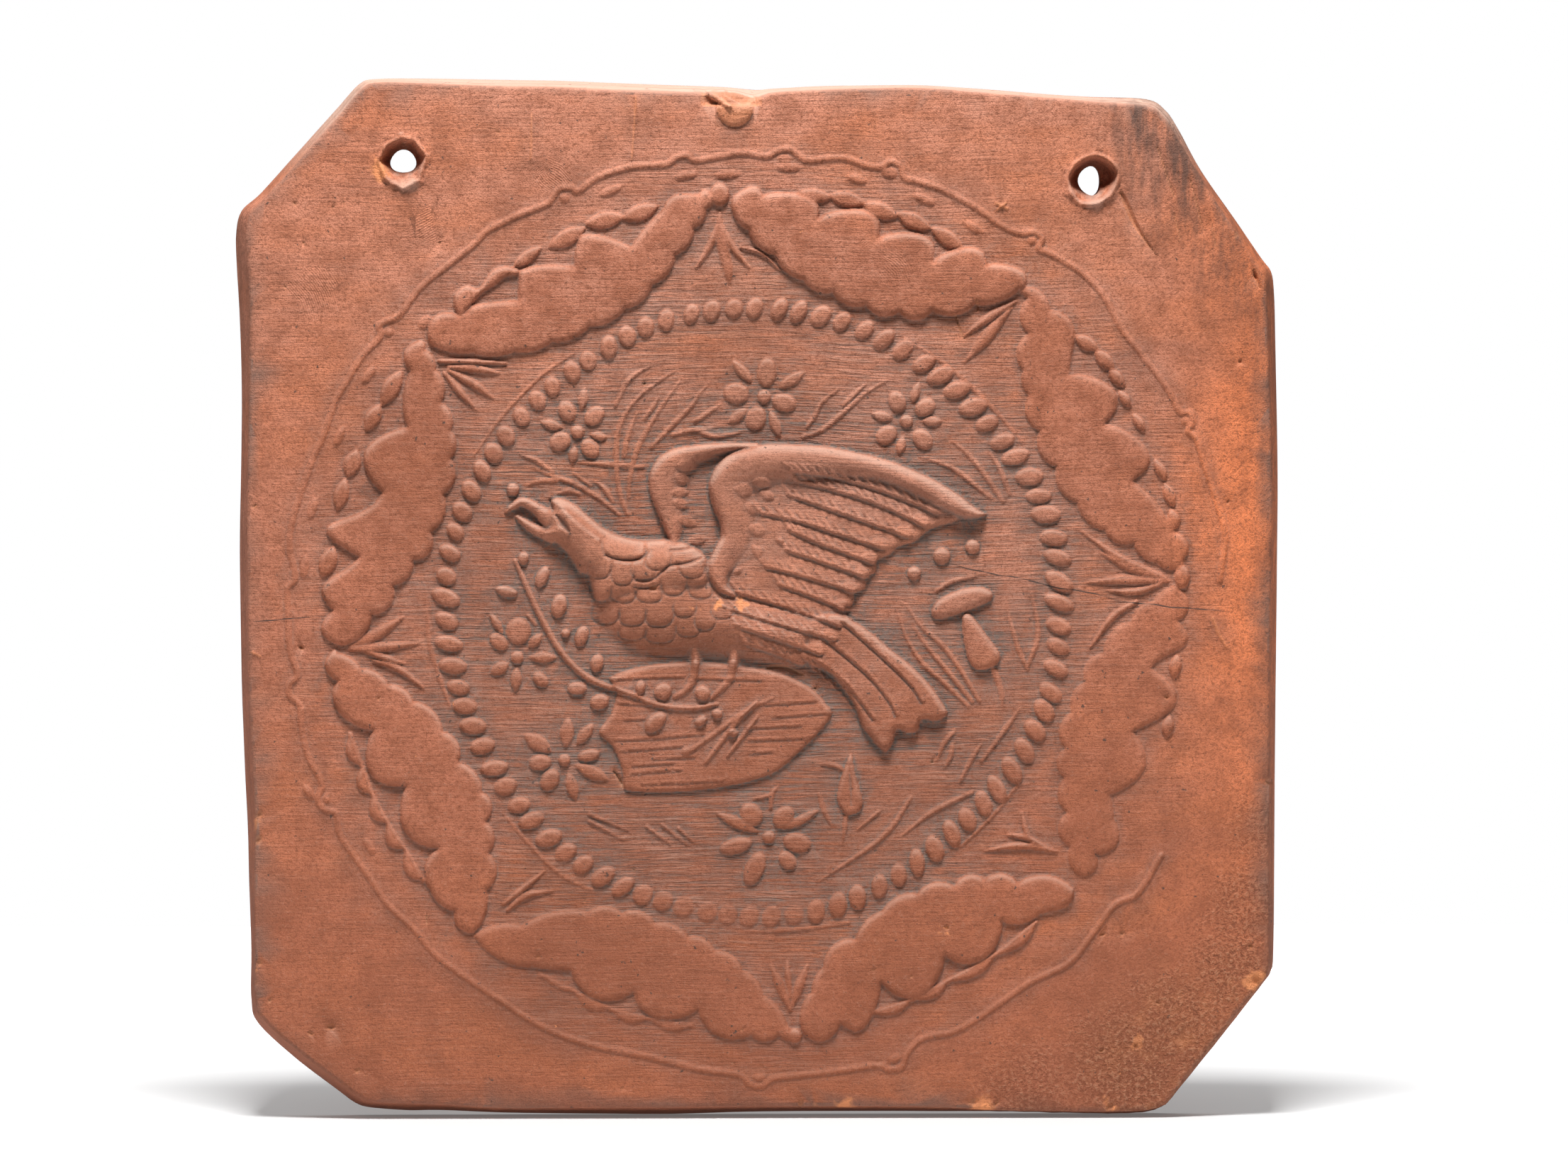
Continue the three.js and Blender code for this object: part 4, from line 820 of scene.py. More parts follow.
    # Legs: their soft upper part, then the thin shank that lies on the shield.
    legs: tuple[tuple[Row, ...], ...] = (
        ((-15, -12.4, 2.3), (-14.7, -15.6, 2.1), (-14.9, -18.8, 1.3)),
        ((-5.6, -12.6, 2.2), (-5.6, -15.6, 2), (-6, -18.4, 1.2)),
    )
    shanks: tuple[tuple[Row, ...], ...] = (
        ((-14.8, -16, 1.1), (-15.4, -19.6, 0.95), (-17.1, -22.1, 0.8), (-19.8, -23.8, 0.5)),
        ((-5.8, -15.8, 1.1), (-6.3, -18.8, 0.95), (-8.1, -21.2, 0.8), (-11, -24.1, 0.5)),
    )

    def carve(self, relief: Relief) -> None:
        """Raises the eagle from the back of the picture to its front."""
        relief.stroke(self.far_wing, 2.8, per=6, taper=0.3)
        relief.plate(smooth(self.web, 3, closed=True), 1.3, 1.6)
        for leg, shank in zip(self.legs, self.shanks):
            relief.stroke(leg, 1.9, Profile.SOFT, per=6, taper=0.8)
            relief.stroke(shank, 0.75, add=True, per=6)
        relief.plate(smooth(self.tail, 4, closed=True), 2.4, 1.8)
        for groove in self.tail_grooves:
            self.carve_groove(relief, groove)
        relief.plate(smooth(self.body, 5, closed=True), self.body_height, 12.5, profile=Profile.DOME)
        relief.plate(smooth(self.neck, 4, closed=True), self.neck_height, 7.2)
        self.carve_head(relief)
        for row in self.scales:
            self.carve_scale(relief, row)
        for tear in self.tears:
            relief.stroke(tear, -0.75, Profile.SOFT, per=5)
        relief.stroke(self.near_wing, self.near_wing_height, per=6, taper=0.3)
        for row in self.tufts:
            relief.boss((*row, 1), 0.5, Profile.FLAT, add=True)
        for i, quill in enumerate(self.quills):
            self.carve_quill(relief, quill, 1.0 if i < 8 else 0.85)

    def carve_groove(self, relief: Relief, rows: tuple[Row, ...]) -> None:
        """Parts two feathers of the tail: a groove with a quill along its upper side."""
        line = smooth(rows, 5)
        relief.stroke([(x, z, 0.5) for x, z in line], -0.58, Profile.SOFT, per=1)
        relief.stroke([(x + 0.6, z + 0.7, 0.55) for x, z in line], 0.35, Profile.DOME, add=True, per=1)
        for x, z in line[1:7:2]:
            relief.stroke([(x + 0.6, z + 0.9, 0.4), (x - 0.6, z + 3.2, 0.2)], 0.4, Profile.DOME, add=True, per=1)

    def carve_head(self, relief: Relief) -> None:
        """Raises the open beak, and cuts the groove by the eye."""
        relief.stroke(self.upper_beak, 2.6, per=6, taper=0.4)
        relief.stroke(self.lower_beak, 1.9, per=6, taper=0.3)
        relief.boss((-46.6, 17.9, 3, 0.85, 128, 1), -1.1, Profile.FLAT, add=True)
        relief.stroke([(-49.6, 23.4, 0.4), (-49.2, 22, 0.5), (-48.9, 21, 0.3)], -1, Profile.SOFT, per=6)
        relief.stroke([(-46, 20.4, 0.8), (-43, 17.4, 1.6), (-38.4, 14, 1.2)], 0.5, Profile.SOFT, add=True, per=6)

    def carve_scale(self, relief: Relief, row: Row) -> None:
        """Raises one scale, with a step round its lower edge."""
        x, z, width, height = row
        part = relief.window(np.array([[x, z]]), max(width, height) + 1)
        lean = 0.12 * math.sin(3 * x + z)
        a = abs(relief.x[part] - x - lean * (relief.z[part] - z)) / width
        b = (relief.z[part] - z) / height
        u = np.clip((a**2.5 + abs(b) ** 2.5) ** 0.4, 0, 1.4)
        lower = np.clip(0.75 - 0.9 * b, 0.1, 1)
        swell = 0.26 * np.clip(1 - u**4, 0, 1) * (0.6 - 0.6 * b)
        relief.height[part] += swell - 0.44 * lower * np.exp(-(((u - 1.04) / 0.09) ** 2))

    def carve_quill(self, relief: Relief, rows: tuple[Row, ...], height: float) -> None:
        """Raises one feather: a thin quill over a step, with leaf-like barbs and a rounded tip."""
        line = smooth(rows, 6)
        part = relief.window(line, 3)
        layer = np.zeros(relief.x[part].shape)
        for i, (a, b) in enumerate(zip(line, line[1:])):
            near = relief.window(np.stack([a, b]), 2.8)
            local = tuple(slice(n.start - p.start, n.stop - p.start) for n, p in zip(near, part))
            away, t, side = relief.to_line(a, b, near)
            root = np.clip((i + t) / len(line) / 0.5, 0.1, 1)
            rise = np.where(side > 0, np.clip(1 - away / 2.6, 0, 1), np.clip(1 - away / 0.5, 0, 1))
            layer[local] = np.maximum(layer[local], root * rise)
        relief.put(part, layer * height * 0.3, True)
        relief.stroke([(x, z, 0.46) for x, z in line], 0.45 * height, Profile.DOME, add=True, per=1)
        relief.stroke([(x - 0.2, z - 0.85, 0.4) for x, z in line[1:]], -0.3, Profile.SOFT, per=1)
        along = line[-1] - line[0]
        run = np.hypot(*along)
        share = np.linspace(0, 1, len(line))
        for t in np.arange(1.2, run - 2.4, 2.7):
            x, z = (np.interp(t / run, share, line[:, k]) for k in (0, 1))
            x1, z1 = (np.interp((t + 1) / run, share, line[:, k]) for k in (0, 1))
            slant = math.atan2(z1 - z, x1 - x) + math.radians(149)
            barb = [(x + r * math.cos(slant), z + r * math.sin(slant), w) for r, w in ((0.2, 0.4), (1.9, 0.5), (3.7, 0.2))]
            relief.stroke(barb, 0.46 * height, Profile.DOME, add=True, per=3, taper=0.3)
        way = math.atan2(*(line[-1] - line[-4])[::-1])
        x, z = line[-1] - 1.2 * np.array([math.cos(way), math.sin(way)])
        relief.boss((x, z + 0.6, 2.2, 1.5, math.degrees(way), 0), 0.5 * height, Profile.FLAT, add=True)


@dataclass
class Damage:
    """What happened to the clay: pits, nicks, gouges, chips, the crack and the bump on the top edge."""

    # Pits: x, z, radius, depth.
    pits: tuple[Row, ...] = (
        (-110.7, 94.5, 0.8, 0.5), (-101.5, 93.7, 0.6, 0.4), (-99, 94.7, 0.5, 0.3), (-108.5, 85, 0.6, 0.4),
        (-76, 85, 0.6, 0.4), (-113, 74.5, 0.6, 0.4), (-62, 111.5, 0.6, 0.3), (115, 87, 1, 0.5),
        (119.5, 77, 0.9, 0.6), (116, 56.5, 0.8, 0.7), (113, 22.8, 0.7, 0.5), (-109.3, -11.9, 0.9, 1),
        (-90.7, -24, 0.6, 0.6), (-67, -15, 0.5, 0.4), (-116.9, -96.6, 0.8, 0.5), (-102.2, -103, 1.2, 0.9),
        (-107.1, -104.5, 0.9, 0.6), (-95.9, -113.5, 0.9, 0.5), (-52.5, -86.1, 0.6, 0.4), (-41.3, -72.7, 0.6, 0.4),
        (-29.6, -65.2, 0.6, 0.5), (-32.4, -117.8, 0.6, 0.4), (-3.6, -103.7, 0.6, 0.4), (-5.9, -111.9, 0.5, 0.3),
        (28, -89.3, 0.6, 0.4), (37, -91, 0.6, 0.4), (45.5, -79.3, 0.9, 0.6), (83, -81, 0.9, 0.7),
        (87.8, -80.8, 0.9, 0.6), (82.8, -109, 0.7, 0.5), (96.3, -97.5, 0.8, 0.5), (-27, 51.3, 0.6, 0.7),
        (98.3, -24, 0.8, 0.7), (42, -39.5, 0.6, 0.6), (14, -22, 0.7, 0.5), (-25, 2.5, 1.2, 0.7),
        (-121, -92.5, 1.3, 1.4), (-120.4, 22, 0.9, 0.5), (123, -44.5, 1.1, 1), (10.5, -121.5, 1.1, 1),
        (14, -122, 0.9, 0.8), (52, -121.4, 1.6, 0.7), (57.5, -121.6, 1, 0.6), (120, -92.4, 1.7, 1),
        (91, -108, 1, 0.6), (85, -122.4, 1.3, 0.8), (108.6, -113, 1.4, 0.8), (118.6, -84, 1, 0.6),
        (-119.4, -52, 1.3, 0.8), (-119.6, -58, 1.4, 0.9), (-119.4, -87.6, 1.1, 0.6), (112.5, 99, 1, 0.6),
    )
    # Cuts and scratches: x, z, half width along each, then the depth.
    cuts: tuple[tuple[float, tuple[Row, ...]], ...] = (
        (1.1, ((87.3, 97, 0.5), (88.4, 94.6, 0.9), (90.6, 89.6, 0.8), (93.4, 85.2, 0.45), (96, 82, 0.2))),
        (1.2, ((119, 78.6, 0.3), (119.7, 76.6, 0.6), (120.6, 74.2, 0.3))),
        (0.6, ((47.6, 67.6, 0.3), (48.6, 64.4, 0.4), (49.6, 62, 0.25))),
        (0.6, ((52.4, 71.6, 0.3), (53, 69.4, 0.4), (52.6, 68.6, 0.2))),
        (0.9, ((-34.4, -41.6, 0.4), (-33, -43.6, 0.7), (-32.2, -45.6, 0.4))),
        (0.5, ((-79.4, -76.2, 0.3), (-79.2, -78.4, 0.3))),
        (0.4, ((96, 108, 0.3), (100, 96, 0.3))), (0.35, ((100, 92, 0.3), (101.5, 86, 0.3))),
        (0.4, ((104, 100, 0.25), (106, 92, 0.3), (107, 88, 0.2))), (0.35, ((109, 90, 0.25), (110, 84, 0.25))),
        (0.7, ((2.6, -17, 0.5), (5, -16.6, 0.7), (8, -17.2, 0.6), (11, -18.6, 0.4))),
    )
    # Faint raised threads left on the face: x, z, half width.
    threads: tuple[tuple[Row, ...], ...] = (
        ((-29, 120, 0.3), (-30, 105, 0.3)), ((-54, 116, 0.3), (-54.2, 105, 0.3)),
        ((109.4, -5, 0.5), (110.8, -8.8, 0.5), (112.8, -12, 0.4)), ((-121, -13, 0.5), (-119, -14, 0.4)),
        ((57.5, 94.5, 0.7), (60, 93.2, 0.6)), ((57.6, 92.9, 0.4), (59.6, 94.6, 0.5)),
    )
    bump: Row = (-5.3, 117.2, 4.4, 4.4, 0, 0)
    # Fingerprints: middle x and z, how far it reaches, and x and z of its whorl.
    prints: tuple[Row, ...] = (
        (-79, 89, 7, -74, 78), (-105, 73, 9, -118, 66), (33, 79, 6, 27, 74), (-113, -77, 7, -108, -84),
        (-47, 102, 6, -52, 95), (5, 96.5, 3.5, 5, 90),
    )

    def work(self, relief: Relief) -> np.ndarray:
        """Wears and breaks the face.

        Args:
            relief: the face, with everything carved.

        Returns:
            Where the damage is, from 0 to 1.
        """
        before = relief.height.copy()
        for line in self.threads:
            relief.stroke(line, 0.45, Profile.SOFT, add=True, per=1)
        for x, z, radius, depth in self.pits:
            relief.boss((x, z, radius, radius * 0.7, x * 7 % 180, 0), -depth, Profile.DOME)
        for depth, line in self.cuts:
            relief.stroke(line, -depth, Profile.SOFT, per=4)
        self.break_top(relief)
        self.wear_corner(relief)
        return np.clip(abs(relief.height - before) / 0.35, 0, 1)

    def touch(self, relief: Relief) -> tuple[np.ndarray, np.ndarray]:
        """Presses the fingerprints.

        Args:
            relief: the face.

        Returns:
            How strong a print is, from 0 to 1, and how far each place is from the middle of its ridges.
        """
        strength, ring = np.zeros_like(relief.x), np.zeros_like(relief.x)
        for x, z, reach, whorl_x, whorl_z in self.prints:
            mask = np.clip((reach - np.hypot(relief.x - x, relief.z - z)) / (0.55 * reach), 0, 1)
            ring = np.where(mask > strength, np.hypot(relief.x - whorl_x, relief.z - whorl_z), ring)
            strength = np.maximum(strength, mask)
        return strength, ring + 1.2 * relief.unevenness(8, 31)

    def break_top(self, relief: Relief) -> None:
        """The chip in the middle of the top edge, and the lump pushed down below it."""
        part = relief.window(np.array([self.bump[:2]]), 9)
        relief.boss(self.bump, 1.3, Profile.FLAT)
        below = np.clip((relief.z[part] - 117.6) / 0.9, 0, 1) * np.clip((7.5 - abs(relief.x[part] + 6.2)) / 1.5, 0, 1)
        relief.height[part] -= 1.5 * below
        relief.stroke([(-12.6, 121.6, 0.6), (-9.6, 119.6, 0.9), (-6.6, 117.8, 0.5)], 1.8, add=True)
        relief.stroke([(-6.8, 121, 0.8), (-3.4, 119.6, 1.2), (-0.4, 119.9, 0.5)], -2.4, Profile.FLAT)

    def wear_corner(self, relief: Relief) -> None:
        """The rough, worn foot of the right-hand side."""
        part = relief.window(np.array([[66, -124], [123, -78]]), 2)
        x, z = relief.x[part], relief.z[part]
        near = np.clip((x - 0.9 * (z + 124) * 0.2 - 72) / 26, 0, 1) * np.clip((-82 - z) / 18, 0, 1)
        rough = relief.unevenness(0.6, 41)[part] * 0.22 + relief.unevenness(1.8, 42)[part] * 0.22
        relief.height[part] += near * np.minimum(rough, 0.08)


@dataclass
class HangingHole:
    """One hole pushed through the wet clay: its clear opening and the burr round it."""

    x: float
    z: float
    across: float
    up: float
    # Burr: x and z from the middle of the hole.
    rim: tuple[Row, ...]
    # Points between two rows of the burr, or 1 for straight lines.
    per: int = 1
    sides: int = 40
    throat: float = 7.0

    def opening(self, grow: float = 0.0) -> np.ndarray:
        """The clear opening, clockwise, made wider by grow."""
        turn = np.linspace(0, -2 * np.pi, self.sides, endpoint=False)
        wobble = 1 + 0.05 * np.sin(3 * turn + self.x)
        x = self.x + (self.across + grow) * np.cos(turn) * wobble
        return np.stack([x, self.z + (self.up + grow) * np.sin(turn) * wobble], 1)

    def carve(self, relief: Relief) -> None:
        """Raises the burr and sinks the mouth of the hole."""
        rim = smooth([(self.x + x, self.z + z) for x, z in self.rim], self.per, closed=True)
        closed = np.vstack([rim, rim[:1]])
        relief.stroke([(x, z, 0.9) for x, z in closed], 0.7, Profile.DOME, add=True, per=1)
        relief.stroke([(x, z, 3.2) for x, z in closed], 0.35, Profile.SOFT, add=True, per=1)
        part, depth = relief.depth_in(rim, 3.4)
        below = np.clip((self.z - relief.z[part]) / 3, 0, 1)
        slope = np.clip(depth / (1.8 + 1.8 * below), 0, 1) * (1 - 0.4 * below)
        crumbs = 0.3 * relief.unevenness(0.5, 21)[part] + 0.35 * relief.unevenness(1.1, 22)[part]
        relief.height[part] -= self.throat * slope - (depth > -1.4) * crumbs


@dataclass
class TileBody:
    """The whole tile as one closed mesh: carved front, hand-cut sides, holes and plain back."""

    relief: Relief = field(default_factory=Relief)
    border: Border = field(default_factory=Border)
    beads: Beads = field(default_factory=Beads)
    meadow: Meadow = field(default_factory=Meadow)
    shield: Shield = field(default_factory=Shield)
    eagle: Eagle = field(default_factory=Eagle)
    damage: Damage = field(default_factory=Damage)
    holes: tuple[HangingHole, ...] = (
        HangingHole(-84.7, 104.5, 3.1, 2.75, ((5.3, 1.3), (2.6, 5), (-0.4, 5.6), (-4, 3.8), (-5.8, 0.4), (-4, -4.2),
                                              (-0.2, -6.4), (3.8, -4.2))),
        HangingHole(80.1, 99.9, 2.7, 3.5, ((6.4, 1.2), (4.4, 4.6), (0.8, 6), (-3.6, 4), (-5.5, 0.2), (-3.8, -4.4),
                                           (0.2, -5.6), (4.2, -3.6)), per=4),
    )
    arris: float = 0.55
    triangles: int = 196_000

    def model_face(self) -> dict[str, np.ndarray]:
        """Carves the front.

        Returns:
            Fields over the face that the finish reads.
        """
        relief = self.relief
        self.border.carve(relief)
        self.beads.carve(relief)
        self.meadow.carve(relief)
        self.shield.carve(relief)
        self.meadow.carve_branch(relief)
        self.eagle.carve(relief)
        worn = 1 - 0.22 * np.clip(-(relief.z + 0.2 * relief.x + 55) / 40, 0, 1)
        carved = relief.soften(relief.height * worn, 0.13)
        raised = np.clip(carved / 0.7, 0, 1)
        relief.height = carved + (0.01 + 0.07 * raised) * relief.unevenness(2.4, 3)
        relief.height += 0.24 * relief.unevenness(16, 4) + 0.08 * relief.unevenness(7, 5)
        marks = self.damage.work(relief)
        for hole in self.holes:
            hole.carve(relief)
        hollow = relief.soften(relief.height, 0.65) - relief.height
        facing_up = -np.gradient(relief.soften(relief.height, 0.35), relief.step, axis=0)
        shade = relief.soften(relief.height, 4.0) - relief.height
        calm = np.ones(hollow.shape)
        for hole in self.holes:
            calm = np.minimum(calm, np.clip((np.hypot(relief.x - hole.x, relief.z - hole.z) - 5) / 4, 0.1, 1))
        shade = np.clip(0.5 + shade * calm / 2.5, 0, 1)
        centre = np.clip((82 - np.hypot(relief.x, relief.z + 4) - 4 * relief.unevenness(10, 6)) / 14, 0, 1)
        field_ = self.field_of_grain()
        patch = np.maximum(0.45 + 0.55 * np.clip(0.58 + 1.5 * relief.unevenness(6, 8), 0, 1), (shade - 0.53) / 0.11)
        grain = field_ * np.clip(patch, 0, 1) * (1 - np.clip((raised - 0.2), 0, 0.7)) * (0.75 + 0.25 * centre)
        prints, ring = self.damage.touch(relief)
        return {
            "raised": raised,
            "hollow": np.clip(hollow / 0.24, 0, 1) * calm,
            # Upward-facing crests, which the colour lightens as a painted highlight.
            "painted_crest_highlight": np.clip(-hollow / 0.22, 0, 1) * np.clip(0.1 + 1.6 * facing_up, 0, 1),
            "shade": shade,
            "marks": marks,
            "field": field_,
            "grain": grain,
            "sway": 0.001 * relief.unevenness(14, 12),
            "centre": centre,
            "prints": prints,
            "ring": ring,
        }

    def field_of_grain(self) -> np.ndarray:
        """Where the face took the grain of the board: strongly within the ring, faintly outside."""
        away = np.hypot(self.relief.x, self.relief.z + 4)
        low_right = np.clip((0.75 * self.relief.x - 0.65 * self.relief.z - 76) / 16, 0, 1)
        outside = np.interp(self.relief.x, (60, 95), (0.27, 0.1))
        fading = 1 - 0.35 * np.clip((away - 90) / 12, 0, 1)
        return np.maximum(np.clip((114 - away) / 5, 0, 1) * fading, outside) * (1 - 0.5 * low_right)

    def build(self) -> bpy.types.Object:
        """Carves the tile, closes it and dresses it.

        Returns:
            The finished object.
        """
        fields = self.model_face()
        edge = smooth(EDGE, 8, closed=True)
        outline = edge[:, :2]
        part, depth = self.relief.depth_in(outline, 4.0)
        solid = np.full(self.relief.x.shape, -4.0)
        solid[part] = depth
        for hole in self.holes:
            hole_part, inside = self.relief.depth_in(hole.opening(), 2.0)
            solid[hole_part] = np.minimum(solid[hole_part], -inside)
        # Along the front edge and round the mouths of the holes, where the colour paints a dark line of shade.
        fields["edge"] = np.exp(-(((solid - 0.3) / 0.42) ** 2))
        keep = solid > 0.4 * self.relief.step
        points, faces = self.front_faces(keep, solid)
        points, faces = self.close_round(points, faces, edge)
        mesh = self.to_mesh(points, faces)
        tile = bpy.data.objects.new("carved_tile", mesh)
        bpy.context.scene.collection.objects.link(tile)
        self.thin_out(tile, len(faces))
        self.write_fields(tile.data, fields)
        return tile

    def edge_drop(self, depth: np.ndarray) -> np.ndarray:
        """How far the face rounds away at a distance from its edge."""
        u = 1 - np.clip(depth / self.arris, 0, 1)
        return self.arris * 0.8 * (1 - np.sqrt(1 - u * u))

    def front_faces(self, keep: np.ndarray, solid: np.ndarray) -> tuple[np.ndarray, np.ndarray]:
        """The points and triangles of the face.

        Args:
            keep: the grid points that lie on the clay.
            solid: their distances from the edge.

        Returns:
            Points in millimetres and triangles.
        """
        cells = keep[:-1, :-1] & keep[1:, :-1] & keep[:-1, 1:] & keep[1:, 1:]
        used = np.zeros_like(keep)
        for rows in (slice(0, -1), slice(1, None)):
            for columns in (slice(0, -1), slice(1, None)):
                used[rows, columns] |= cells
        number = np.cumsum(used.ravel()).reshape(used.shape) - 1
        drop = self.edge_drop(np.where(self.relief.height > -2, solid, self.arris))
        y = -(SLAB + self.relief.height - drop)
        points = np.stack([self.relief.x[used], y[used], self.relief.z[used]], 1)
        a, b = number[:-1, :-1][cells], number[:-1, 1:][cells]
        c, d = number[1:, 1:][cells], number[1:, :-1][cells]
        return points, np.vstack([np.stack([a, b, c], 1), np.stack([a, c, d], 1)])

    def close_round(self, points: np.ndarray, faces: np.ndarray, edge: np.ndarray) -> tuple[np.ndarray, np.ndarray]:
        """Adds the sides, the walls of the holes and the back.

        Args:
            points: the points of the face, whose rim is moved onto the true edges.
            faces: its triangles.
            edge: the front edge, with how far the back edge stands out.

        Returns:
            Points and triangles of the closed tile.
        """
        loops = rims_of(faces, len(points))
        made = [points]
        walls = [faces]
        count = len(points)
        backs = []
        for number, loop in enumerate(loops):
            rings = self.side_rings(points, loop, edge) if number == 0 else self.hole_rings(points, loop)
            before = loop
            for ring in rings:
                now = np.arange(count, count + len(loop))
                made.append(ring)
                walls.append(wall_between(before, now))
                before = now
                count += len(loop)
            backs.append((before, rings[-1]))
        extra, cap = self.back_faces(backs, count)
        return np.vstack([*made, extra]), np.vstack([*walls, cap])

    def side_rings(self, points: np.ndarray, loop: np.ndarray, edge: np.ndarray) -> list[np.ndarray]:
        """Moves the rim of the face onto the front edge, and makes the rings of the side."""
        at = along_outline(points[loop][:, [0, 2]], edge[:, :2])
        run = np.arange(len(edge) + 1)
        shape = [np.interp(at, run, np.append(edge[:, k], edge[0, k])) for k in range(4)]
        x, z, dx, dz = shape
        height = self.relief.sample(self.relief.height, x, z)
        points[loop] = np.stack([x, -(SLAB + height - 0.8 * self.arris), z], 1)
        rng = np.random.default_rng(11)
        rings = []
        out = np.stack([dx, dz], 1)
        out /= np.maximum(np.hypot(dx, dz), 1e-6)[:, None]
        for share, spread in ((0.06, 0.1), (0.2, 0.3), (0.4, 0.55), (0.6, 0.74), (0.8, 0.9), (0.93, 1), (1, 0.78)):
            waves = sum(
                rng.uniform(0.01, 0.05) * np.sin(2 * np.pi * (at / len(edge) * turns + rng.uniform()))
                for turns in (7, 16, 37, 71, 143)
            )
            dent = waves * math.sin(math.pi * min(share, 0.97))
            ring_x = x + dx * spread + out[:, 0] * dent
            ring_z = z + dz * spread + out[:, 1] * dent
            y = points[loop][:, 1] * (1 - share)
            rings.append(np.stack([ring_x, y, ring_z], 1))
        return rings

    def hole_rings(self, points: np.ndarray, loop: np.ndarray) -> list[np.ndarray]:
        """Moves the rim of the face onto the opening of a hole, and makes the rings of its wall."""
        middle = points[loop].mean(0)
        hole = min(self.holes, key=lambda h: math.hypot(h.x - middle[0], h.z - middle[2]))
        opening = hole.opening()
        at = along_outline(points[loop][:, [0, 2]], opening)
        run = np.arange(len(opening) + 1)
        x, z = (np.interp(at, run, np.append(opening[:, k], opening[0, k])) for k in (0, 1))
        height = self.relief.sample(self.relief.height, x, z)
        points[loop] = np.stack([x, -(SLAB + height), z], 1)
        rings = []
        for share, spread in ((0.3, 1.0), (0.65, 1.02), (0.9, 1.04), (1, 1.2)):
            y = points[loop][:, 1] * (1 - share)
            rings.append(np.stack([hole.x + (x - hole.x) * spread, y, hole.z + (z - hole.z) * spread], 1))
        return rings

    def back_faces(self, backs: list[tuple[np.ndarray, np.ndarray]], count: int) -> tuple[np.ndarray, np.ndarray]:
        """Fills the back, which is nearly flat, with the ends of the holes left open.

        Args:
            backs: the numbers and places of the points on each rim at the back.
            count: how many points there are so far.

        Returns:
            The further points and the triangles of the back.
        """
        grid = np.arange(-120, 121, 6.0)
        x, z = (v.ravel() for v in np.meshgrid(grid, grid))
        rims = [ring[:, [0, 2]] for _, ring in backs]
        ok = within(np.stack([x, z], 1), rims[0] * 0.985)
        for rim in rims[1:]:
            ok &= np.hypot(x - rim[:, 0].mean(), z - rim[:, 1].mean()) > 6
        x, z = x[ok], z[ok]
        hollow = 0.12 * (1 + self.relief.sample(self.relief.unevenness(20, 9), x, z))
        extra = np.stack([x, -hollow, z], 1)
        flat = np.vstack([*rims, np.stack([x, z], 1)])
        numbers = np.concatenate([*(n for n, _ in backs), np.arange(count, count + len(x))])
        rows = []
        start = 0
        for rim in rims:
            rows += [(start + i, start + (i + 1) % len(rim)) for i in range(len(rim))]
            start += len(rim)
        made = delaunay_2d_cdt([Vector(p) for p in flat], rows, [], 0, 1e-7)
        corner = np.array([from_[0] for from_ in made[3]])
        triangles = np.array(made[2])
        middles = np.array([tuple(v) for v in made[0]])[triangles].mean(1)
        inner = within(middles, rims[0])
        for rim in rims[1:]:
            inner &= ~within(middles, rim)
        triangles = corner[triangles[inner]]
        a, b, c = (flat[triangles[:, k]] for k in range(3))
        turn = (b[:, 0] - a[:, 0]) * (c[:, 1] - a[:, 1]) - (b[:, 1] - a[:, 1]) * (c[:, 0] - a[:, 0])
        triangles[turn > 0] = triangles[turn > 0][:, ::-1]
        return extra, numbers[triangles]

    def to_mesh(self, points: np.ndarray, faces: np.ndarray) -> bpy.types.Mesh:
        """Makes a mesh, still in millimetres, from points and triangles."""
        mesh = bpy.data.meshes.new("carved_tile")
        mesh.vertices.add(len(points))
        mesh.vertices.foreach_set("co", points.astype(np.float32).ravel())
        mesh.loops.add(faces.size)
        mesh.loops.foreach_set("vertex_index", faces.astype(np.int32).ravel())
        mesh.polygons.add(len(faces))
        mesh.polygons.foreach_set("loop_start", np.arange(0, faces.size, 3, dtype=np.int32))
        mesh.polygons.foreach_set("loop_total", np.full(len(faces), 3, dtype=np.int32))
        mesh.update(calc_edges=True)
        mesh.validate()
        return mesh

    def thin_out(self, tile: bpy.types.Object, faces: int) -> None:
        """Brings the mesh down to its share of triangles, keeping the carving sharp, and then to metres."""
        thin = tile.modifiers.new("thin_out", "DECIMATE")
        thin.ratio = self.triangles / faces
        thin.use_collapse_triangulate = True
        seen = tile.evaluated_get(bpy.context.evaluated_depsgraph_get())
        mesh = bpy.data.meshes.new_from_object(seen)
        tile.modifiers.clear()
        tile.data = mesh
        mesh.name = "carved_tile"
        co = np.empty(len(mesh.vertices) * 3, np.float32)
        mesh.vertices.foreach_get("co", co)
        mesh.vertices.foreach_set("co", co * MM)
        mesh.polygons.foreach_set("use_smooth", np.ones(len(mesh.polygons), bool))
        mesh.update()

    def write_fields(self, mesh: bpy.types.Mesh, fields: dict[str, np.ndarray]) -> None:
        """Writes the fields of the face onto the points of the mesh, and marks the sides and back."""
        co = np.empty(len(mesh.vertices) * 3, np.float32)
        mesh.vertices.foreach_get("co", co)
        x, y, z = co.reshape(-1, 3).T / MM
        height = self.relief.sample(self.relief.height, x, z)
        front = np.clip(1 - (y + SLAB + height) / 2.5, 0, 1) * (y < -SLAB + 4)
        for name, values in fields.items():
            layer = mesh.attributes.new(name, "FLOAT", "POINT")
            layer.data.foreach_set("value", (self.relief.sample(values, x, z) * front).astype(np.float32))
        layer = mesh.attributes.new("front", "FLOAT", "POINT")
        layer.data.foreach_set("value", front.astype(np.float32))


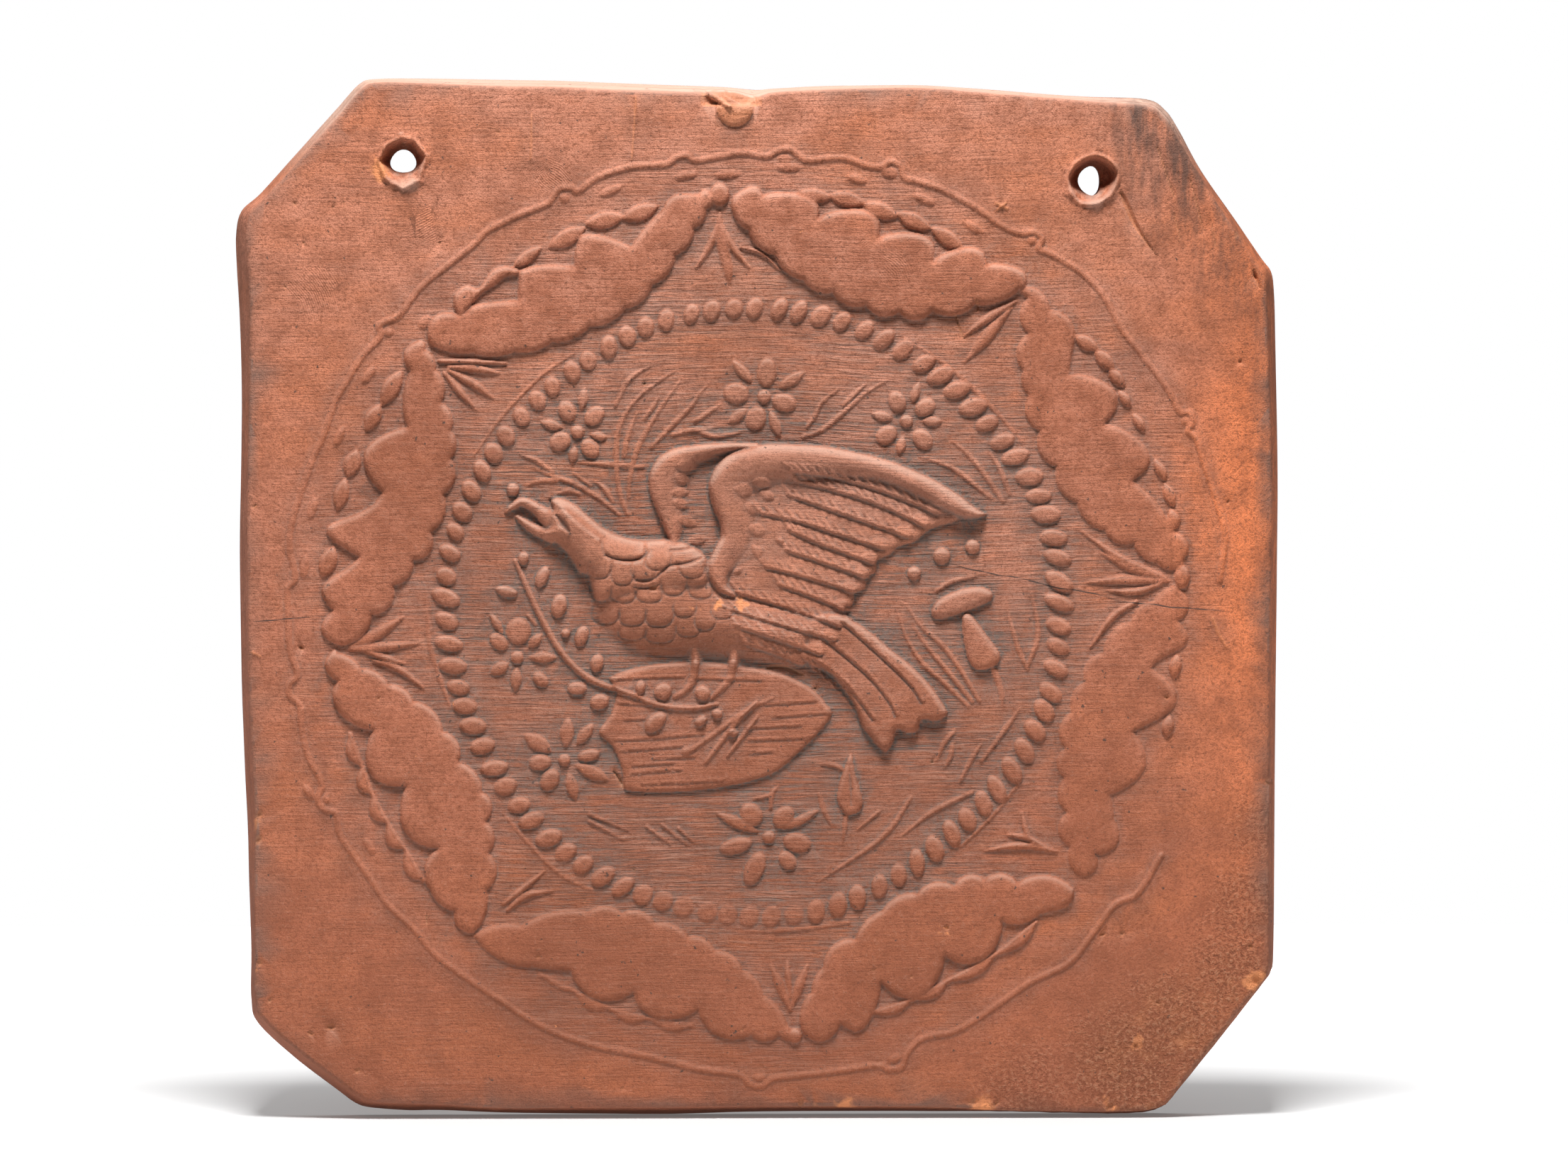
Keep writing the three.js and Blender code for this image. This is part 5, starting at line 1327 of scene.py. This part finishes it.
def rims_of(faces: np.ndarray, count: int) -> list[np.ndarray]:
    """The open rims of a surface, longest first.

    Args:
        faces: its triangles.
        count: how many points it has.

    Returns:
        The numbers of the points round each rim, in the order of the faces.
    """
    pairs = np.vstack([faces[:, [0, 1]], faces[:, [1, 2]], faces[:, [2, 0]]])
    key = pairs[:, 0] * count + pairs[:, 1]
    back = pairs[:, 1] * count + pairs[:, 0]
    follow = dict(pairs[~np.isin(key, back)].tolist())
    loops = []
    while follow:
        start, now = follow.popitem()
        loop = [start]
        while now != start:
            loop.append(now)
            now = follow.pop(now)
        loops.append(np.array(loop))
    return sorted(loops, key=len, reverse=True)


def along_outline(places: np.ndarray, outline: np.ndarray) -> np.ndarray:
    """Where each place of a ring of places belongs along a closed outline, evenly spread.

    Args:
        places: x and z of the ring's points, in the outline's order.
        outline: x and z of the outline's corners.

    Returns:
        Places along the outline, counted in its corners.
    """
    fine = 8
    closed = np.vstack([outline, outline[:1]])
    run = np.arange(len(closed))
    at = np.linspace(0, len(outline), len(outline) * fine, endpoint=False)
    dense = np.stack([np.interp(at, run, closed[:, k]) for k in (0, 1)], 1)
    nearest = np.array([at[np.argmin(((dense - p) ** 2).sum(1))] for p in places])
    span = len(outline)
    order = np.unwrap(nearest, period=span)
    for _ in range(12):
        wrapped = np.concatenate([[order[-1] - span], order, [order[0] + span]])
        order = (wrapped[:-2] + 2 * wrapped[1:-1] + wrapped[2:]) / 4
    return order % span


def wall_between(upper: np.ndarray, lower: np.ndarray) -> np.ndarray:
    """The triangles of a wall between two rings of points."""
    a, b = upper, np.roll(upper, -1)
    c, d = lower, np.roll(lower, -1)
    return np.vstack([np.stack([a, c, d], 1), np.stack([a, d, b], 1)])


def within(places: np.ndarray, outline: np.ndarray) -> np.ndarray:
    """Which places lie within a closed outline."""
    inside = np.zeros(len(places), bool)
    x, z = places.T
    for (x0, z0), (x1, z1) in zip(outline, np.roll(outline, -1, 0)):
        if z0 == z1:
            continue
        crosses = (z >= min(z0, z1)) & (z < max(z0, z1))
        inside ^= crosses & (x < x0 + (z - z0) * (x1 - x0) / (z1 - z0))
    return inside


class Graph:
    """A short way to lay nodes and links in a node tree."""

    def __init__(self, tree: bpy.types.NodeTree) -> None:
        """Keeps the tree that is worked on."""
        self.tree = tree

    def node(self, kind: str, inputs: dict | None = None, **settings: object) -> bpy.types.Node:
        """Adds one node.

        Args:
            kind: its type, such as ShaderNodeMix.
            inputs: values or sockets for its inputs, by name or number.
            settings: its properties.

        Returns:
            The node.
        """
        made = self.tree.nodes.new(kind)
        for name, value in settings.items():
            setattr(made, name, value)
        for name, value in (inputs or {}).items():
            if isinstance(value, bpy.types.NodeSocket):
                self.tree.links.new(value, made.inputs[name])
            else:
                made.inputs[name].default_value = value
        return made

    def maths(self, operation: str, *values: object) -> bpy.types.NodeSocket:
        """One sum on numbers or sockets."""
        return self.node("ShaderNodeMath", dict(enumerate(values)), operation=operation).outputs[0]

    def mix(self, share: object, first: object, second: object, blend: str = "MIX") -> bpy.types.NodeSocket:
        """A colour between two, by a share."""
        inputs = {0: share, 6: first, 7: second}
        return self.node("ShaderNodeMix", inputs, data_type="RGBA", blend_type=blend).outputs[2]

    def noise(self, place: object, scale: float, detail: float = 3.0, rough: float = 0.5) -> bpy.types.NodeSocket:
        """Random clouds from 0 to 1."""
        inputs = {"Vector": place, "Scale": scale, "Detail": detail, "Roughness": rough}
        return self.node("ShaderNodeTexNoise", inputs).outputs[0]

    def stretch(self, place: object, scale: Row, location: Row = (0, 0, 0)) -> bpy.types.NodeSocket:
        """A place made longer or shorter along each axis."""
        return self.node("ShaderNodeMapping", {"Vector": place, "Scale": scale, "Location": location}).outputs[0]

    def ramp(self, value: object, low: float, high: float, to_low: float = 0.0, to_high: float = 1.0) -> bpy.types.NodeSocket:
        """A value carried from one range to another, and held at its ends."""
        inputs = {0: value, 1: low, 2: high, 3: to_low, 4: to_high}
        return self.node("ShaderNodeMapRange", inputs).outputs[0]

    def attribute(self, name: str) -> bpy.types.NodeSocket:
        """A field that the mesh carries."""
        return self.node("ShaderNodeAttribute", attribute_name=name).outputs["Fac"]


@dataclass(frozen=True)
class FiredClay:
    """Unglazed red clay with the grain of its board, grey in its hollows and brown where it was rubbed."""

    grey: Row = (0.47, 0.222, 0.15, 1)
    salmon: Row = (0.6, 0.238, 0.145, 1)
    brown: Row = (0.43, 0.137, 0.07, 1)
    orange: Row = (0.58, 0.178, 0.072, 1)
    vivid: Row = (0.8, 0.228, 0.085, 1)
    deep: Row = (0.23, 0.07, 0.032, 1)
    crust: Row = (0.46, 0.215, 0.12, 1)
    pale: Row = (0.58, 0.39, 0.305, 1)
    dust_and_painted_shade: Row = (0.172, 0.128, 0.108, 1)
    soot: Row = (0.055, 0.04, 0.034, 1)
    fresh: Row = (0.8, 0.3, 0.12, 1)
    roughness: float = 0.82
    # Distance between the ridges of a fingerprint, in millimetres.
    ridge_pitch: float = 0.55
    # Darker patches, the one over the belly being painted shade, worn and crusted ones, and fresh chips: x, z, reach in
    # millimetres, strength.
    dark_patches_and_painted_shade: tuple[Row, ...] = (
        (-82, 34, 30, 0.4), (-36, -84, 34, 0.42), (-18, -10, 20, 0.7), (-15, -66, 20, 0.4), (98, -101, 30, 0.32), (38, -82, 24, 0.2),
    )
    crusts: tuple[Row, ...] = (
        (90, -113, 19, 0.9), (102, -103, 17, 0.9), (115, -91, 14, 0.9), (118, -74, 13, 0.7), (120, -56, 10, 0.5),
        (66, -120, 15, 0.5),
    )
    chips: tuple[Row, ...] = (
        (-15.5, -2.2, 1.6, 0.8), (-8.8, -2.2, 1.5, 0.8), (-4, -2.5, 1.6, 0.7), (45.5, -79.3, 1.6, 0.8),
        (-123, -54, 4, 0.8), (-121.5, -87.6, 2.6, 0.9), (54, -123.5, 4, 0.8), (120.5, -92.5, 3, 0.8), (85, -122.8, 3, 0.9),
        (91, -107.5, 1.5, 0.5), (-90.2, 102.6, 2.8, 0.8), (20, -123.8, 3, 0.7),
    )
    # Hair cracks: x and z of their left and right ends, and width, in millimetres.
    cracks: tuple[tuple[Row, Row, float], ...] = (
        ((46.5, 8.1), (89, -1.2), 0.34), ((86, -0.9), (115, -3.6), 0.34), ((-121.7, -5.1), (-103, -4.7), 0.3),
    )
    # Painted highlights on the lower slopes of the holes' mouths: x, z, reach in millimetres, strength.
    hole_slope_highlights: tuple[Row, ...] = ((-84.3, 99.4, 3.6, 0.42), (80.7, 95.2, 3.4, 0.42))

    def build(self) -> bpy.types.Material:
        """Lays out the material.

        Returns:
            The material.
        """
        material = bpy.data.materials.new("fired_clay")
        material.use_nodes = True
        tree = material.node_tree
        shader = tree.nodes["Principled BSDF"]
        g = Graph(tree)
        place = g.node("ShaderNodeTexCoord").outputs["Object"]
        names = ("raised", "hollow", "painted_crest_highlight", "shade", "marks", "field", "grain", "sway", "centre", "prints", "ring",
                 "edge", "front")
        face = {name: g.attribute(name) for name in names}
        face["x"], face["z"], face["flat"], face["side"] = self.places(g, place, face)
        face["crack"] = g.maths("MULTIPLY", self.hairlines(g, place, face), face["front"])
        face["cloud"] = g.noise(place, 22, 4, 0.55)
        face["cut"], face["ridge"] = self.board_grain(g, place, face)
        face["sand"] = g.noise(place, 2900, 1, 0.7)
        face["grit"] = g.noise(place, 1000, 3, 0.75)
        face["spot"] = g.noise(place, 170, 3, 0.65)
        face["scrape"] = self.scrape_marks(g, place)
        face["crust"] = self.blots(g, face, g.maths("MULTIPLY_ADD", face["spot"], 0.02, -0.01), self.crusts)
        tree.links.new(self.colour(g, place, face), shader.inputs["Base Color"])
        rough = g.ramp(face["grit"], 0.3, 0.7, self.roughness - 0.1, self.roughness + 0.1)
        tree.links.new(rough, shader.inputs["Roughness"])
        shader.inputs["Specular IOR Level"].default_value = 0.32
        height = self.surface(g, place, face)
        bump = g.node("ShaderNodeBump", {"Strength": 1.0, "Distance": MM, "Height": height})
        tree.links.new(bump.outputs[0], shader.inputs["Normal"])
        return material

    def places(self, g: Graph, place: object, face: dict) -> tuple[bpy.types.NodeSocket, ...]:
        """Where each point is across the tile.

        Args:
            g: the graph of the material.
            place: where each point is.
            face: the fields that the mesh carries.

        Returns:
            Its x, its z, its place as if the face were flat, and 1 on the sides and the back.
        """
        across = g.node("ShaderNodeSeparateXYZ", {0: place})
        x, y, z = across.outputs
        behind = g.maths("MAXIMUM", g.maths("ADD", y, SLAB * MM), 0)
        flat = g.node("ShaderNodeCombineXYZ", {"X": x, "Y": behind, "Z": z}).outputs[0]
        return x, z, flat, g.maths("SUBTRACT", 1, face["front"])

    def board_grain(self, g: Graph, place: object, face: dict) -> tuple[bpy.types.NodeSocket, bpy.types.NodeSocket]:
        """The lines that the board's grain left in the clay.

        Args:
            g: the graph of the material.
            place: where each point is.
            face: the fields that the mesh carries.

        Returns:
            How deep a line is cut, and where the clay stands up between lines, from 0 to 1.
        """
        shift = g.node("ShaderNodeCombineXYZ", {"Z": face["sway"]}).outputs[0]
        bent = g.node("ShaderNodeVectorMath", {0: place, 1: shift}, operation="ADD").outputs[0]
        fine = g.noise(g.stretch(bent, (90, 90, 1900)), 1, 2, 0.6)
        broad = g.noise(g.stretch(bent, (45, 45, 1050), (3, 0, 7)), 1, 2, 0.7)
        lines = g.maths("MULTIPLY", g.ramp(fine, 0.4, 0.47, 1, 0), 0.75)
        broad = g.maths("MULTIPLY", g.ramp(broad, 0.35, 0.41, 1, 0), g.ramp(face["centre"], 0, 1, 0.35, 1))
        lines = g.maths("MAXIMUM", lines, broad)
        ridges = g.maths("MULTIPLY", g.ramp(fine, 0.54, 0.64), face["grain"])
        return g.maths("MULTIPLY", lines, face["grain"]), ridges

    def scrape_marks(self, g: Graph, place: object) -> bpy.types.NodeSocket:
        """Long marks of the knife along the sides, and of the wire across the back."""
        behind = g.ramp(g.node("ShaderNodeSeparateXYZ", {0: place}).outputs["Y"], -0.0012, -0.0008)
        along = g.stretch(place, (14, 620, 14))
        wiped = g.stretch(place, (12, 12, 330))
        return g.noise(g.mix(behind, along, wiped), 1, 2, 0.6)

    def surface(self, g: Graph, place: object, face: dict) -> bpy.types.NodeSocket:
        """The fine surface, in millimetres of height: sand, pores, grain, crust and fingerprints.

        Args:
            g: the graph of the material.
            place: where each point is.
            face: the fields that the mesh carries.

        Returns:
            The height.
        """
        height = g.maths("MULTIPLY", face["cut"], -0.34)
        height = g.maths("MULTIPLY_ADD", face["ridge"], 0.14, height)
        height = g.maths("MULTIPLY_ADD", face["spot"], 0.4, height)
        height = g.maths("MULTIPLY_ADD", face["sand"], 0.14, height)
        height = g.maths("MULTIPLY_ADD", face["grit"], 0.26, height)
        height = g.maths("MULTIPLY_ADD", g.maths("MULTIPLY", face["crust"], face["grit"]), 1.2, height)
        height = g.maths("MULTIPLY_ADD", g.maths("MULTIPLY", face["scrape"], face["side"]), 0.3, height)
        ridge = g.maths("SINE", g.maths("MULTIPLY", face["ring"], 2 * math.pi / self.ridge_pitch))
        ridge = g.maths("MULTIPLY", g.maths("MULTIPLY_ADD", ridge, 0.5, 0.5), face["prints"])
        return g.maths("MULTIPLY_ADD", ridge, 0.08, height)

    def colour(self, g: Graph, place: object, face: dict) -> bpy.types.NodeSocket:
        """The colour: mottled clay, darker lower down, brown where it was rubbed, grey in hollows and sooty in stains,
        with painted shade below the middle, in the grain lines and along the edges, and painted highlights on crests,
        grain ridges, the top and the holes' lower slopes.

        Args:
            g: the graph of the material.
            place: where each point is.
            face: the fields that the mesh carries.

        Returns:
            The colour.
        """
        cloud, centre = face["cloud"], face["centre"]
        streak = g.noise(g.stretch(place, (28, 28, 75), (1, 5, 2)), 1, 4, 0.6)
        spot = face["spot"]
        x, z = face["x"], face["z"]
        stray_x = g.maths("MULTIPLY_ADD", cloud, 0.04, x)
        stray_z = g.maths("MULTIPLY_ADD", cloud, 0.06, z)
        colour = g.mix(g.ramp(stray_z, -0.05, 0.12), self.brown, self.salmon)
        colour = g.mix(g.ramp(streak, 0.45, 0.68, 0, 0.6), colour, self.orange)
        inner = g.ramp(g.maths("MULTIPLY_ADD", cloud, 0.5, face["field"]), 0.85, 1.25)
        where = g.maths("MAXIMUM", g.ramp(centre, 0, 1, 0.25, 0.6), g.ramp(z, 0.03, 0.075, 0, 0.6))
        dusty = g.maths("MULTIPLY", g.maths("MULTIPLY", inner, where), g.ramp(streak, 0.35, 0.6, 0.8, 0.35))
        colour = g.mix(dusty, colour, self.grey)
        worn = g.maths("MULTIPLY", face["raised"], g.ramp(spot, 0.35, 0.65, 0.35, 0.75))
        colour = g.mix(g.maths("MULTIPLY", worn, g.ramp(centre, 0, 1, 1, 0.55)), colour, self.brown)
        left = g.maths("MULTIPLY", g.ramp(stray_x, -0.09, -0.05, 0.45, 0), g.ramp(stray_z, -0.1, 0.05, 1, 0.3))
        colour = g.mix(left, colour, self.brown)
        right = g.maths("MULTIPLY", g.ramp(stray_x, 0.115, 0.135), g.ramp(stray_z, -0.05, 0.04, 0.35, 1))
        colour = g.mix(right, colour, self.vivid)
        colour = g.mix(g.maths("MULTIPLY", g.ramp(stray_z, -0.1, 0.0, 0.42, 0), g.ramp(right, 0, 0.4, 1, 0.4)), colour, self.deep)
        # Painted shade: darker below the middle of the picture, most over the belly, which faces down; joined with the
        # darker patches.
        under = g.maths("MULTIPLY", g.ramp(g.maths("MULTIPLY_ADD", cloud, 0.03, z), -0.02, 0.025, 0.34, 0), centre)
        dark_patches_and_painted_shade = self.blots(g, face, g.maths("MULTIPLY_ADD", cloud, 0.03, -0.015), self.dark_patches_and_painted_shade)
        colour = g.mix(g.maths("MAXIMUM", under, dark_patches_and_painted_shade), colour, self.deep)
        colour = g.mix(g.ramp(spot, 0.4, 0.66, 0, 0.5), colour, self.deep)
        colour = g.mix(g.ramp(cloud, 0.3, 0.5, 0.3, 0), colour, self.deep)
        colour = g.mix(g.ramp(face["grit"], 0.34, 0.49, 0.75, 0), colour, self.deep)
        colour = g.mix(g.ramp(face["grit"], 0.56, 0.7, 0, 0.14), colour, self.pale)
        colour = g.mix(g.ramp(face["sand"], 0.36, 0.5, 0.45, 0), colour, self.deep)
        # Painted highlights in pale: upward-facing crests, a faint sheen on raised forms in the upper middle, and the
        # ridges of the board's grain.
        upper = g.maths("MULTIPLY", centre, g.ramp(z, -0.02, 0.01))
        light = g.maths("MULTIPLY", g.maths("MULTIPLY", face["raised"], upper), 0.1)
        light = g.maths("MAXIMUM", g.maths("MULTIPLY", face["painted_crest_highlight"], 0.5), light)
        light = g.maths("MULTIPLY", light, g.ramp(upper, 0, 1, 0.7, 1))
        colour = g.mix(g.maths("MAXIMUM", light, g.maths("MULTIPLY", face["ridge"], 0.2)), colour, self.pale)
        halo = g.maths("MULTIPLY", g.ramp(face["shade"], 0.6, 1, 0, 0.7), g.ramp(centre, 0, 1, 0.3, 0.6))
        halo = g.maths("MAXIMUM", halo, face["hollow"])
        halo = g.maths("MULTIPLY", halo, g.ramp(face["raised"], 0.1, 1, 1, 0.7))
        halo = g.maths("MULTIPLY", halo, g.maths("MINIMUM", g.ramp(centre, 0, 1, 0.5, 1), g.ramp(z, 0.035, 0.06, 1, 0.55)))
        colour = g.mix(g.maths("MULTIPLY", halo, g.ramp(face["grit"], 0.38, 0.54, 0.25, 1)), colour, self.dust_and_painted_shade)
        # The grain lines darkened: partly dust near the forms, partly painted shade in the grooves.
        lines = g.maths("MULTIPLY", face["cut"], g.ramp(face["grit"], 0.35, 0.6, 0.5, 1))
        lines = g.maths("MULTIPLY", lines, g.ramp(face["shade"], 0.52, 0.62, 0.45, 1))
        lines = g.maths("MULTIPLY", lines, g.ramp(centre, 0, 1, 0.75, 1))
        colour = g.mix(lines, colour, self.dust_and_painted_shade)
        # Painted shade: a dark line where the face rounds over into the sides and the holes.
        rim = g.maths("MULTIPLY", face["edge"], g.ramp(streak, 0.4, 0.6, 0.3, 0.9))
        colour = g.mix(rim, colour, self.dust_and_painted_shade)
        # Painted highlight: the top and the tops of the sides paler, where they face the light from above.
        colour = g.mix(g.maths("MULTIPLY", face["side"], g.ramp(z, 0.1, 0.115, 0, 0.8)), colour, self.pale)
        scraped = g.maths("MULTIPLY", face["side"], g.ramp(face["scrape"], 0.36, 0.5, 0.4, 0))
        colour = g.mix(scraped, colour, self.deep)
        colour = g.mix(g.maths("MULTIPLY", face["crust"], g.ramp(face["grit"], 0.5, 0.6, 0, 0.6)), colour, self.crust)
        colour = g.mix(g.maths("MULTIPLY", face["crust"], g.ramp(face["grit"], 0.4, 0.54, 0.9, 0)), colour, self.deep)
        pits = g.ramp(g.noise(place, 620, 2, 0.6), 0.69, 0.75, 0, 0.8)
        colour = g.mix(g.maths("MAXIMUM", pits, self.stains(g, place, face)), colour, self.soot)
        # Painted highlight on the lower slope of each hole's mouth.
        colour = g.mix(self.blots(g, face, g.maths("MULTIPLY_ADD", spot, 0.006, -0.003), self.hole_slope_highlights), colour, self.pale)
        chips = g.ramp(g.noise(place, 260, 3, 0.7), 0.74, 0.78, 0, 0.8)
        chips = g.maths("MAXIMUM", chips, self.blots(g, face, g.maths("MULTIPLY_ADD", spot, 0.012, -0.006), self.chips))
        colour = g.mix(g.maths("MAXIMUM", chips, g.maths("MULTIPLY", face["marks"], 0.3)), colour, self.fresh)
        return g.mix(g.maths("MULTIPLY", face["crack"], 0.9), colour, self.soot)

    def blots(self, g: Graph, face: dict, stray: object, rows: tuple[Row, ...]) -> bpy.types.NodeSocket:
        """Ragged patches of another colour.

        Args:
            g: the graph of the material.
            face: where each point is, and the fields that the mesh carries.
            stray: how far their edges stray, in metres.
            rows: x and z of the middle of each, its reach in millimetres and its strength.

        Returns:
            Their strength, from 0 to 1.
        """
        share = 0.0
        for x, z, reach, amount in rows:
            ends = {0: face["flat"], 1: (x * MM, 0, z * MM)}
            away = g.node("ShaderNodeVectorMath", ends, operation="DISTANCE")
            ragged = g.maths("ADD", away.outputs["Value"], stray)
            share = g.maths("MAXIMUM", share, g.ramp(ragged, 0.4 * reach * MM, reach * MM, amount, 0))
        return share

    def hairlines(self, g: Graph, place: object, face: dict) -> bpy.types.NodeSocket:
        """The hair cracks across the face.

        Args:
            g: the graph of the material.
            place: where each point is.
            face: where each point is, and the fields that the mesh carries.

        Returns:
            Where a crack is, from 0 to 1.
        """
        x, z = face["x"], face["z"]
        bend = g.ramp(g.noise(g.stretch(place, (45, 0, 0)), 1, 2, 0.6), 0.3, 0.7, -0.0007, 0.0007)
        gaps = g.ramp(g.noise(g.stretch(place, (260, 0, 0)), 1, 0), 0.36, 0.5, 0.35, 1)
        share = 0.0
        for (x0, z0), (x1, z1), width in self.cracks:
            slope = (z1 - z0) / (x1 - x0)
            level = g.maths("MULTIPLY_ADD", x, slope, (z0 - slope * x0) * MM)
            off = g.maths("SUBTRACT", g.maths("SUBTRACT", z, level), bend)
            near = g.ramp(g.maths("ABSOLUTE", off), 0.35 * width * MM, 0.6 * width * MM, 1, 0)
            after = g.ramp(x, (x0 - 1) * MM, (x0 + 4) * MM)
            before = g.ramp(x, (x1 - 8) * MM, (x1 + 1) * MM, 1, 0)
            line = g.maths("MULTIPLY", near, g.maths("MULTIPLY", after, before))
            share = g.maths("MAXIMUM", share, line)
        return g.maths("MULTIPLY", share, gaps)

    def stains(self, g: Graph, place: object, face: dict) -> bpy.types.NodeSocket:
        """Where soot and damp darkened the top right corner and the right edge."""
        x, z = face["x"], face["z"]
        smear = g.noise(g.stretch(place, (300, 120, 60)), 1, 3, 0.6)
        corner = g.maths("MULTIPLY", g.ramp(g.maths("ADD", x, z), 0.17, 0.205), g.ramp(x, 0.078, 0.09))
        rim = g.maths("MULTIPLY", g.ramp(x, 0.118, 0.1225), g.ramp(z, -0.06, 0.09, 0.25, 0.8))
        spread = g.maths("MULTIPLY", g.maths("MAXIMUM", corner, rim), g.ramp(face["side"], 0, 1, 1, 0.5))
        return g.maths("MULTIPLY", spread, g.ramp(smear, 0.4, 0.62, 0.1, 0.8))


@dataclass(frozen=True)
class PaleFloor:
    """Matt white board under the tile."""

    colour: Row = (0.62, 0.62, 0.62, 1)

    def build(self) -> bpy.types.Material:
        """Lays out the material."""
        material = bpy.data.materials.new("pale_floor")
        material.use_nodes = True
        shader = material.node_tree.nodes["Principled BSDF"]
        g = Graph(material.node_tree)
        place = g.node("ShaderNodeTexCoord").outputs["Object"]
        shade = g.ramp(g.noise(place, 3, 2), 0.3, 0.7)
        tint = g.mix(shade, self.colour, tuple(0.985 * v for v in self.colour[:3]) + (1,))
        material.node_tree.links.new(tint, shader.inputs["Base Color"])
        away = g.node("ShaderNodeVectorMath", {0: place}, operation="LENGTH").outputs["Value"]
        shader.inputs["Emission Color"].default_value = (1, 1, 1, 1)
        material.node_tree.links.new(g.ramp(away, 0.15, 0.5, 0.12, 0.75), shader.inputs["Emission Strength"])
        shader.inputs["Roughness"].default_value = 0.9
        return material


@dataclass
class Studio:
    """The floor, the soft light from above, and the camera at the photograph's angle."""

    distance: float = 2.8
    azimuth: float = -1.5
    elevation: float = 1.8
    aim: Row = (0.00646, -0.016, 0.0023)
    frame_width: float = 0.376
    sensor: float = 36.0
    key_place: Row = (-0.04, -0.5, 1.02)
    key_power: float = 23.0
    key_size: float = 0.3
    fill_place: Row = (-0.5, -2.4, 0.7)
    fill_power: float = 2.0
    fill_size: float = 1.4
    top_place: Row = (0, 0.75, 1.5)
    top_aim: Row = (0, 0.55, -0.12)
    top_power: float = 11.0
    top_size: float = 1.3
    floor_front: float = 0.26
    floor_back: float = 0.75
    floor_side: float = 0.8

    def build(self, foot: float) -> None:
        """Sets the stage.

        Args:
            foot: height of the lowest point of the tile, in metres.
        """
        self.lay_floor(foot)
        self.light("key_light", self.key_place, self.aim, self.key_power, self.key_size)
        self.light("fill_light", self.fill_place, self.aim, self.fill_power, self.fill_size)
        self.light("top_light", self.top_place, self.top_aim, self.top_power, self.top_size)
        self.set_world()
        self.set_camera()
        bpy.context.scene.view_settings.view_transform = "Standard"

    def lay_floor(self, foot: float) -> None:
        """Lays a floor under the tile."""
        side, front, back = self.floor_side, -self.floor_front, self.floor_back
        points = [(-side, front, foot), (side, front, foot), (side, back, foot), (-side, back, foot)]
        mesh = bpy.data.meshes.new("floor")
        mesh.from_pydata(points, [], [(0, 1, 2, 3)])
        floor = bpy.data.objects.new("floor", mesh)
        bpy.context.scene.collection.objects.link(floor)
        floor.data.materials.append(PaleFloor().build())

    def light(self, name: str, place: Row, aim: Row, power: float, size: float) -> None:
        """Hangs one soft light that looks at a place."""
        lamp = bpy.data.lights.new(name, "AREA")
        lamp.energy = power
        lamp.size = size
        held = bpy.data.objects.new(name, lamp)
        held.location = place
        held.rotation_euler = (Vector(aim) - Vector(place)).to_track_quat("-Z", "Y").to_euler()
        bpy.context.scene.collection.objects.link(held)

    def set_world(self) -> None:
        """Makes the surroundings white to look at and softer as a light."""
        world = bpy.data.worlds.new("studio")
        bpy.context.scene.world = world
        world.use_nodes = True
        g = Graph(world.node_tree)
        background = world.node_tree.nodes["Background"]
        seen = g.node("ShaderNodeLightPath").outputs["Is Camera Ray"]
        world.node_tree.links.new(g.ramp(seen, 0, 1, 0.07, 1.0), background.inputs["Strength"])
        background.inputs["Color"].default_value = (1, 1, 1, 1)

    def set_camera(self) -> None:
        """Places the camera a little to the left and above, with a long lens."""
        azimuth, elevation = math.radians(self.azimuth), math.radians(self.elevation)
        way = Vector((math.sin(azimuth) * math.cos(elevation), -math.cos(azimuth) * math.cos(elevation), math.sin(elevation)))
        data = bpy.data.cameras.new("camera")
        data.sensor_width = self.sensor
        data.lens = self.sensor * self.distance / self.frame_width
        data.clip_end = 50
        camera = bpy.data.objects.new("camera", data)
        camera.location = Vector(self.aim) + way * self.distance
        camera.rotation_euler = (-way).to_track_quat("-Z", "Y").to_euler()
        bpy.context.scene.collection.objects.link(camera)
        bpy.context.scene.camera = camera


def main() -> None:
    """Builds the tile and its studio."""
    logging.basicConfig(level=logging.INFO, format="%(name)s: %(message)s")
    tile = TileBody().build()
    tile.data.materials.append(FiredClay().build())
    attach(tile, "root")
    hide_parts("eagle_tile")
    log.info("%s has %d triangles", tile.name, len(tile.data.polygons))
    Studio().build(min(v.co.z for v in tile.data.vertices))
    bpy.context.view_layer.update()


if __name__ == "__main__":
    main()
